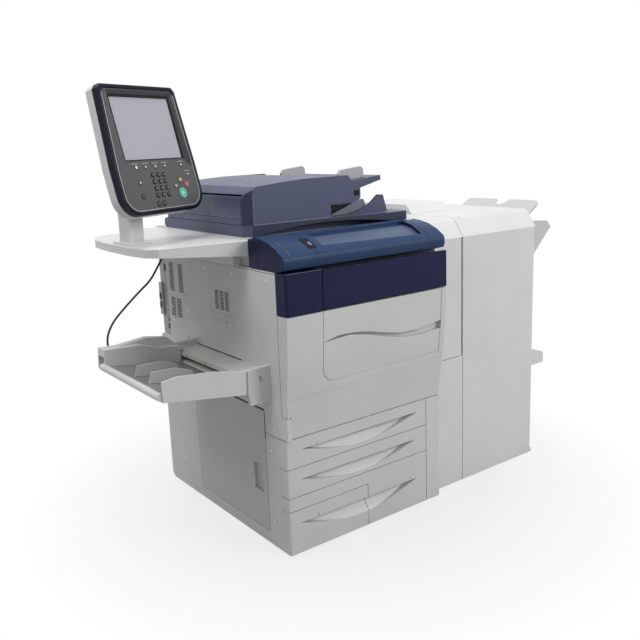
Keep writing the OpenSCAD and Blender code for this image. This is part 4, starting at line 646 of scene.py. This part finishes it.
# Control top: the recess floor is lighter as a painted highlight, and the recess walls are navy as painted
# shade
dress("control_top", BLUE, 2, 3, where=[
    (lambda c, n: in_recess(c) and n.z > 0.5, BLUE_PAINTED_HIGHLIGHT),
    (lambda c, n: in_recess(c) and n.z <= 0.5, NAVY),
    # Left end face in navy: painted shade on the side that faces away from the light
    (lambda c, n: n.x < -0.5 and c.x < 40, NAVY)])
# Platen cover front under its lip in dark slate: painted shade
dress("platen_cover", SLATE, 2, 3,
      where=[(lambda c, n: n.z < 0.3 and Z_BED - 1 < c.z < Z_BED + 26 and 36 < c.x < 605, SLATE_DARK_AND_SHADE)])
dress("feeder_body", SLATE, 2, 3, where=[
    (lambda c, n: n.x < -0.5 and n.y < -0.5, SLATE_DARK_AND_SHADE),
    (inside((270, 180, 990), (425, 680, 1060)), DARK)])
dress("feeder_cover", SLATE, 2, 3)
dress("feeder_tray", SLATE, 1.5)
dress("exit_catch", RAMP, 1.5)
for end in ("front", "rear"):
    dress("feeder_guide_" + end, LIGHT_GREY, 1)
    dress("bypass_guide_" + end, LIGHT_GREY, 1)
dress("bypass_tray", WHITE, 1.2, local=ON_BYPASS,
      where=[(lambda c, n: n.z > 0.9 and c.z < 2 and 66 < c.y < 470, FLOOR_GREY)])
dress("bypass_extension", WHITE, 1)
dress("machine_frame", STEEL, 0.5)
dress("inner_panel", DARK, 0.8)
dress("levelling_feet", RUBBER, 0.8)
for side in ("left", "right"):
    dress("caster_fork_" + side, STEEL, 0.5)
for i in range(1, 5):
    dress("caster_wheel_%d" % i, RUBBER, 2)
dress("toner_cartridges", TONERS[0], 1, where=[
    (lambda c, n, i=i: abs(c.x - TONER_X[i]) < TONER_R + 2 and c.y < ENGINE_Y - 0.5, TONERS[i])
    for i in (1, 2, 3)])
dress("drum_units", DRUM, 0.6)
dress("fuser_rollers", FUSER, 0.6)
dress("platen_glass", GLASS, 0.3)


# Control screen
def screen_outline(w):
    """The source's screen outline, inset by w."""
    x, top, low, r = PANEL_W / 2 - w, PANEL_UP - w, -PANEL_DOWN + w, CORNER_BIG - w
    side = [(x * 0.94 - CORNER_SMALL, top), (x * 0.94, top - CORNER_SMALL), (x, low + 2.2 * r)]
    other = [(-x, low + 2.2 * r), (-x * 0.9, top - CORNER_SMALL), (-x * 0.9 + CORNER_SMALL, top)]
    return side + arc(x - r, low + r, r, -90, 8)[::-1] + arc(-x + r, low + r, r, 180, 8)[::-1] + other


def add_screen_rim():
    """Raised band round the screen, given as (inset, depth) pairs."""
    mesh = bmesh.new()
    add_rings(mesh, screen_outline, [(0.5, 0.3), (0.6, -0.8), (1.6, -2.6), (3.6, -3.8), (6.5, -4.2),
                                     (9.4, -3.8), (11.4, -2.6), (12.4, -0.8), (12.5, 0.3)])
    build("screen_rim", mesh, BEZEL, "screen", ON_SCREEN)


RIM_LINE_INSET = 13.2

add_screen_rim()
ribbons("screen_rim_line", [front_line(0, *screen_outline(RIM_LINE_INSET)[1:-1])], SILVER, "screen", 1.6,
        ON_SCREEN, lift=1.6)
blocks("screen_frame", [(-123.6, 130.5, -0.8, 0.2, 90.4, 98), (123.4, 130.5, -0.8, 0.2, -92, 90.4),
                        (-126, -123.4, -0.8, 0.2, -92, 98), (-126, 130.5, -0.8, 0.2, -93, -90.4)],
       BLACK, "screen", place=ON_SCREEN, bevel=0.3)
prism("screen_margin", [(131, -96), (131, 105), (143, 105), (159, -112), (150, -116)], "Y", -0.35, 0.2,
      FACE_DARK, "screen", place=ON_SCREEN)
prism("screen_brow", [(-126, 98.5), (-124, 110), (140, 110), (143, 98.5)], "Y", -0.35, 0.2, FACE_DARK,
      "screen", place=ON_SCREEN)


KEY_STEPS = 20
KEY_RISE, KEY_FOOT = 2.6, 6.2
SMALL_KEY_RISE, SMALL_KEY_FOOT = 2.2, 0.2
NUMBER_R, NUMBER_RING_R, NUMBER_RING_OUTER, NUMBER_HEIGHT = 5.4, 5.7, 7.9, 4.2
NUMBER_X, NUMBER_Z, NUMBER_STEP_X, NUMBER_STEP_Z = -28, -137, 24, 19.7
BLANK_KEYS = (9, 11)


def add_key(mesh, x, z, r, rise, foot):
    """Round key cap with a rounded rim; its foot reaches behind the panel."""
    profile = [(0, -rise), (r * 0.72, -rise), (r * 0.94, -rise + 0.4), (r, -rise + 1.2), (r, foot), (0, foot)]
    add_turned(mesh, profile, (x, 0, z), "Y", KEY_STEPS)


def add_key_ring(mesh, x, z, r, outer):
    """Low collar on the panel round a key."""
    profile = [(r, 0.2), (r, -0.6), (r + 0.3, -0.8), (outer - 0.4, -0.8), (outer, -0.5), (outer, 0.2),
               (r, 0.2)]
    add_turned(mesh, profile, (x, 0, z), "Y", KEY_STEPS)


def add_keypad():
    """Number keys on one mat, in place of the source's number_keys."""
    caps, rings, marks = bmesh.new(), bmesh.new(), []
    for i in range(12):
        x, z = NUMBER_X + i % 3 * NUMBER_STEP_X, NUMBER_Z - i // 3 * NUMBER_STEP_Z
        add_key(caps, x, z, NUMBER_R, KEY_RISE, KEY_FOOT)
        add_key_ring(rings, x, z, NUMBER_RING_R, NUMBER_RING_OUTER)
        if i not in BLANK_KEYS:
            marks.append((str((i + 1) % 11), x, -KEY_RISE - 0.05, z, NUMBER_HEIGHT))
    add_block(caps, -43, 35, KEY_FOOT, 12, -211, -122)
    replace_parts(build("number_caps", caps, KEY, "screen", ON_SCREEN), "number_keys")
    build("number_rings", rings, KEY_RING, "screen", ON_SCREEN)
    digits("number_digits", marks, DIGIT_LIGHT, "screen", ON_SCREEN)


def add_small_keys(name, places, r, paint):
    """Small round keys or lamps with their collars."""
    caps, rings = bmesh.new(), bmesh.new()
    for x, z in places:
        add_key(caps, x, z, r, SMALL_KEY_RISE, SMALL_KEY_FOOT)
        add_key_ring(rings, x, z, r + 0.5, r + 2)
    build(name, caps, paint, "screen", ON_SCREEN)
    build(name + "_rings", rings, KEY_RING, "screen", ON_SCREEN)


add_keypad()
add_small_keys("service_keys", [(-50, -112), (-8, -112), (32, -112), (107, -112), (127, -141.6)], 4.8,
               KEY_LIGHT)
add_small_keys("service_lamp", [(-89, -112)], 5, LAMP)
add_small_keys("job_key", [(-88.6, -156)], 4.6, KEY_LIGHT)
add_small_keys("power_keys", [(-90, -195), (-34, -221), (-12, -221)], 6.6, KEY)
ribbons("key_marks", [front_line(0, (x - 12, z), (x + 12, z)) for x, z in (
    (-92, -102), (-50, -102), (-8, -102), (32, -102), (107, -102), (127, -131.5))],
        DIGIT_LIGHT, "screen", 1.2, ON_SCREEN, lift=0.8)
add_small_keys("clear_key", [(86, -157)], 6.5, YELLOW)
add_small_keys("pause_key", [(60, -174)], 5.5, KEY_LIGHT)
prism("start_mark", [(79, -203.5), (79, -190.5), (89.5, -197)], "Y", -2.9, -2.4, GREEN_LIGHT, "green_key",
      place=ON_SCREEN)

# Left side of the main body
for i, (y0, y1, z0, z1) in enumerate(VENTS):
    blocks("vent_back_%d" % i, [(3.05, 4.6, y0, y1, z0, z1)], FOAM, "machine")
ribbons("vent_plate_edge", [left_line(COVER_X, (270, 714), (392, 714), (392, 800), (270, 800), (270, 714))],
        SEAM_SOFT, "machine", 1.0)
ribbons("left_seams", [
    left_line(COVER_X, (20, 380.5), (111, 380.5)),
    left_line(COVER_X, (14, 874), (690, 874))], SEAM, "machine", 1.6)
ribbons("head_gap", [left_line(COVER_X, (222, 584), (526, 584)), left_line(COVER_X, (567, 584), (567, 599))],
        BLACK, "machine", 3.4)
ribbons("side_door_gap", [left_line(COVER_X, (107.6, 362), (107.6, 452.4), (330, 452.4))],
        BLACK, "machine", 3.6)
screws("left_screws", [(COVER_X, y, z) for y, z in (
    (60, 850), (60, 400), (250, 850), (420, 850), (560, 850), (672, 690), (560, 690), (672, 640), (640, 600),
    (60, 560), (672, 500), (672, 120), (80, 330), (80, 100), (650, 330))], "-X", BRIGHT, "machine", 3)
turned_pieces("left_holes", [(0, 0.25), (2.6, 0.25), (3, 0.1), (3, -0.4), (0, -0.4)],
              [(COVER_X, y, z) for y, z in ((655, 745), (568, 745), (655, 650), (300, 690), (350, 690))],
              "-X", BLACK, "machine", steps=16)

# Recessed rear corner with its sockets
blocks("corner_sockets", [(-0.6, 2.4, 764, 776, 668, 690), (-0.6, 2.4, 764, 776, 700, 722),
                          (9.5, 12.3, 716, 742, 596, 612), (9.5, 12.3, 716, 736, 622, 634),
                          (9.5, 12.3, 722, 744, 806, 830)], DARK, "machine", bevel=0.6)
blocks("corner_plugs", [(7.5, 12.2, 722, 740, z, z + 12) for z in (652, 668)], LIGHT_GREY, "machine",
       bevel=0.8)
screws("corner_screws", [(CORNER_X, 714, z) for z in (850, 780, 700, 590)] + [
    (CORNER_X, 748, 760), (2, 768, 655), (2, 768, 752)], "-X", BRIGHT, "machine", 3)
ribbons("corner_folds", [left_line(CORNER_X, (708, z), (752, z)) for z in (640, 738)], SEAM, "machine", 1.2)

# Tray numbers
digits("tray_numbers", [("5", -36, 60.8, 568, 15)], DIGIT, "machine")
for i, (x, z) in enumerate(((112, 346), (111, 251), (109, 117), (494, 119)), 1):
    digits("tray_number_%d" % i, [(str(i), x, -0.05, z, 10)], DIGIT, "drawer_%d" % i)

# Blue control top: seams with a painted highlight, painted shade and highlight in place of a small pocket,
# and the latch at its right end
ribbons("control_seams", [([(x, y, z) for y, z in TOP_LINE], ON_CONTROL) for x in (25, 122, 568)],
        SEAM_AND_SHADE_BLUE, "machine", 1.8)
# Pale line beside the seam at x 25: painted highlight
ribbons("control_seam_highlight", [([(28, y, z) for y, z in TOP_LINE[1:]], ON_CONTROL)], PALE_SLATE_AND_HIGHLIGHT, "machine", 0.8)
# Dark strip in place of the small pocket: painted shade, with a painted highlight on its floor
ribbons("pocket_painted_shade", [([(120, y, top_height(y) + 0.5) for y in (-8, 4, 14, 24, 34, 43)], IN_POCKET)],
        SEAM_AND_SHADE_BLUE, "machine", 30)
ribbons("pocket_painted_highlight", [([(124, y, top_height(y) + 0.7) for y in (4, 14, 22)], IN_POCKET)],
        PALE_SLATE_AND_HIGHLIGHT, "machine", 8)
prism("control_latch", round_box(584, 612, 96, 108, 3), "Z", 968, 973.4, SILVER, "machine", bevel=0.8)

# Document feeder: part lines with painted highlights beside them, fin, ramp and catch
ribbons("feeder_lines_dark", [
    left_line(FEEDER_X, (199.5, 1018), (571, 1018), (571, 998)),
    left_line(FEEDER_X, (200, 998), (200, 1070)),
    left_line(FEEDER_X, (199, 998), (682, 998))], SEAM_AND_SHADE_BLUE, "lid", 1.6)
# Pale lines above the left seam, on the chamfer's right edge and along the front base: painted highlights
ribbons("feeder_line_highlights", [
    left_line(FEEDER_X, (199.5, 1019.6), (571, 1019.6)),
    front_line(FEEDER_Y, (41.5, 1000), (41.5, 1083))], PALE_SLATE_AND_HIGHLIGHT, "lid", 1.0)
ribbons("feeder_base_highlight", [front_line(FEEDER_Y, (42, 998.4), (328, 998.4))], PALE_SLATE_AND_HIGHLIGHT, "lid", 1.6)
FIN = [(0.22, 0.02), (0.33, 0.2), (0.43, 0.55), (0.503, 0.99)]
ribbons("fin_strip", [([(MOUTH_X + a * FEEDER_W, FIN_Y, FEEDER_Z0 + b * FIN_H) for a, b in FIN], ON_FIN)],
        BLACK, "lid", 7.4)
ribbons("ramp_shadow", [([(x, 214, z) for x, z in ((352, 998.9), (395, 1013.9), (472, 1041.2))], ON_RAMP)],
        BLACK, "lid", 10)
ribbons("feeder_notch", [front_line(FEEDER_Y, (424, 1067), (446, 1067))], BLACK, "lid", 17)
CATCH_Y = (244, 264, 300, 340, 380)
ribbons("catch_slots", [([(402, y, 1016.3), (468, y, 1039.8)], ON_RAMP) for y in (228, *CATCH_Y)],
        BLACK, "lid", 4)
ribbons("catch_rails", [([(350, y, 998.2), (394, y, 1013.6)], ON_RAMP) for y in (224, *CATCH_Y)],
        PALE_SLATE_AND_HIGHLIGHT, "lid", 3)

# Bypass tray: floor ribs between the guides' slots, end line, label and marks on the head
RIB_Y = (96, 120, 400, 424, 448)
RIB_SPANS = ((-250, -191), (-178, -97), (-84, -30))
ribbons("bypass_ribs", [flat_line(0, (u0, y), (u1, y)) for y in RIB_Y for u0, u1 in RIB_SPANS], LIGHT_GREY,
        "bypass", 2.2, place=ON_BYPASS, lift=0.25)
ribbons("bypass_front_line", [flat_line(0, (-249, 68), (-249, 462))], BLACK, "bypass", 2.2, place=ON_BYPASS)
ribbons("head_label", [left_line(HEAD_X, (322, 571), (424, 571))], LABEL, "machine", 9, lift=0.3)
ribbons("head_marks", [left_line(HEAD_X, (y, 566), (y, 576)) for y in (312, 436)], DIGIT, "machine", 4,
        lift=0.4)
HEAD_PRINTS = [(x, y, w, HEAD_TOP + x * HEAD_SLOPE) for x, y, w in (
    (-58, 236, 40), (-40, 222, 26), (-56, 300, 22))]
ribbons("head_prints", [([(x, y, z), (x + 12, y + w, z + 0.65)], (-HEAD_SLOPE, 0, 1))
                        for x, y, w, z in HEAD_PRINTS], SEAM_SOFT, "machine", 1.6, lift=0.4)

# Finisher and relay unit: seams and screws of their tops
ribbons("finisher_seams", [
    flat_line(UNIT_TOP, (FIN_X0 + 8, 100), (FIN_X1 - 8, 100)),
    flat_line(UNIT_TOP, (1012, 101), (1012, 732))], SEAM_SOFT, "machine", 1.1)
ribbons("relay_seams", [flat_line(UNIT_TOP, (RELAY_X0 + 3, 100), (RELAY_X1 - 3, 100))], SEAM_SOFT,
        "machine", 1.1)
screws("finisher_screws", [(x, y, UNIT_TOP) for x, y in ((820, 86), (1150, 120), (1150, 700), (1040, 700))],
       "Z", BRIGHT, "machine", 3)

# Rear view: louvre backs, power inlet, screws and seams
blocks("rear_louvre_backs", [(x, x + 118, 777.2, 778.8, 566, 806) for x in (130, 382)], FOAM, "machine")
blocks("power_inlet", [(60, 112, 780.5, REAR_Y, 66, 96)], DARK, "machine", bevel=0.3)
screws("rear_screws", [(x, 780.7, z) for x in (40, 210, 420, 590) for z in (90, 330, 540, 850)], "Y", BRIGHT,
       "machine", 3.4)
ribbons("rear_seams", [rear_line(REAR_Y, (24, 540), (606, 540)), rear_line(REAR_Y, (315, 80), (315, 540))],
        SEAM, "machine", 1.6, lift=0.0)

# Engine behind the front door
for i, x in enumerate(TONER_X):
    turned_pieces("toner_cap_%d" % i, [(0, 0), (24, 0), (27, 2), (30, 6), (30, 8), (0, 8)],
                  [(x, 6.6, 818)], "Y", TONERS[i], "machine", steps=32)
blocks("toner_grips", [(x - 3, x + 3, 2.2, 8, 800, 836) for x in TONER_X], KEY_LIGHT, "machine", bevel=0.8)
turned_pieces("engine_knobs", [(0, 0), (11, 0), (13, 1.5), (13, 9), (16, 11), (16, 13), (0, 13)],
              [(92, 1.6, 640), (92, 1.6, 700), (560, 1.6, 700)], "Y", LEVER, "machine", steps=28)
ribbons("engine_panel_seams", [front_line(ENGINE_Y, (112, z), (540, z)) for z in (470, 735)], SEAM_SOFT,
        "machine", 1.4)


# Floor, world and lamps, in metres of the row frame
FLOOR_HALF = 30
FLOOR_Z = -0.0005
FLOOR_TONE = 0.34
GLOW_NEAR, GLOW_FAR = 0.8, 1.0
GLOW_START, GLOW_END = 0.55, 1.15
WORLD_LIGHT = 0.4
LAMP_AIM = (0, 0, 0.7)
# Name, place, size and power of each lamp
LAMPS = [
    ("key", (2.4, -4.6, 3.2), 2.4, 152),
    ("top", (-0.6, 0.4, 4.6), 3.0, 90),
    ("fill", (-3.6, -0.4, 4.4), 1.8, 62),
]


def add_floor():
    """Pale floor that the camera sees turn to pure white away from the machine."""
    mesh = bmesh.new()
    for x, y in ((-1, -1), (1, -1), (1, 1), (-1, 1)):
        mesh.verts.new((x * FLOOR_HALF, y * FLOOR_HALF, FLOOR_Z))
    mesh.faces.new(mesh.verts)
    data = bpy.data.meshes.new("floor")
    mesh.to_mesh(data)
    mesh.free()
    floor = bpy.data.objects.new("floor", data)
    bpy.context.scene.collection.objects.link(floor)
    m = bpy.data.materials.new("floor_paint")
    m.use_nodes = True
    tree = m.node_tree
    tree.nodes.clear()
    matt = node(tree, "ShaderNodeBsdfDiffuse", {"Color": (FLOOR_TONE, FLOOR_TONE, FLOOR_TONE, 1)})
    glow = node(tree, "ShaderNodeEmission", {"Color": (1, 1, 1, 1), "Strength": 1.0})
    path = node(tree, "ShaderNodeLightPath")
    seen = node(tree, "ShaderNodeMath", operation="MAXIMUM")
    share = node(tree, "ShaderNodeMath", operation="MULTIPLY")
    coords = node(tree, "ShaderNodeTexCoord")
    far = node(tree, "ShaderNodeVectorMath", operation="LENGTH")
    tree.links.new(coords.outputs["Object"], far.inputs[0])
    fade = spread(tree, far.outputs["Value"], GLOW_NEAR, GLOW_FAR, GLOW_START, GLOW_END)
    tree.links.new(fade, share.inputs[1])
    mix = node(tree, "ShaderNodeMixShader")
    out = node(tree, "ShaderNodeOutputMaterial")
    tree.links.new(path.outputs["Is Camera Ray"], seen.inputs[0])
    tree.links.new(path.outputs["Is Glossy Ray"], seen.inputs[1])
    tree.links.new(seen.outputs[0], share.inputs[0])
    tree.links.new(share.outputs[0], mix.inputs[0])
    tree.links.new(matt.outputs[0], mix.inputs[1])
    tree.links.new(glow.outputs[0], mix.inputs[2])
    tree.links.new(mix.outputs[0], out.inputs[0])
    data.materials.append(m)


def add_world(strength):
    """Even light on the machine; the camera, gloss and glass see pure white."""
    world = bpy.data.worlds.new("studio")
    bpy.context.scene.world = world
    world.use_nodes = True
    tree = world.node_tree
    back = tree.nodes["Background"]
    back.inputs["Color"].default_value = (1, 1, 1, 1)
    path = node(tree, "ShaderNodeLightPath")
    seen = node(tree, "ShaderNodeMath", operation="MAXIMUM")
    through = node(tree, "ShaderNodeMath", operation="MAXIMUM")
    level = node(tree, "ShaderNodeMapRange", {1: 0.0, 2: 1.0, 3: strength, 4: 1.0})
    tree.links.new(path.outputs["Is Camera Ray"], seen.inputs[0])
    tree.links.new(path.outputs["Is Glossy Ray"], seen.inputs[1])
    tree.links.new(seen.outputs[0], through.inputs[0])
    tree.links.new(path.outputs["Is Transmission Ray"], through.inputs[1])
    tree.links.new(through.outputs[0], level.inputs[0])
    tree.links.new(level.outputs[0], back.inputs["Strength"])


def add_lamp(name, place, size, power):
    data = bpy.data.lights.new(name, "AREA")
    data.size = size
    data.energy = power
    lamp = bpy.data.objects.new(name, data)
    bpy.context.scene.collection.objects.link(lamp)
    lamp.location = place
    lamp.rotation_mode = "QUATERNION"
    lamp.rotation_quaternion = (Vector(LAMP_AIM) - Vector(place)).to_track_quat("-Z", "Y")


add_floor()
add_world(WORLD_LIGHT)
for lamp_row in LAMPS:
    add_lamp(*lamp_row)

view = bpy.context.scene.view_settings
view.view_transform = "Standard"
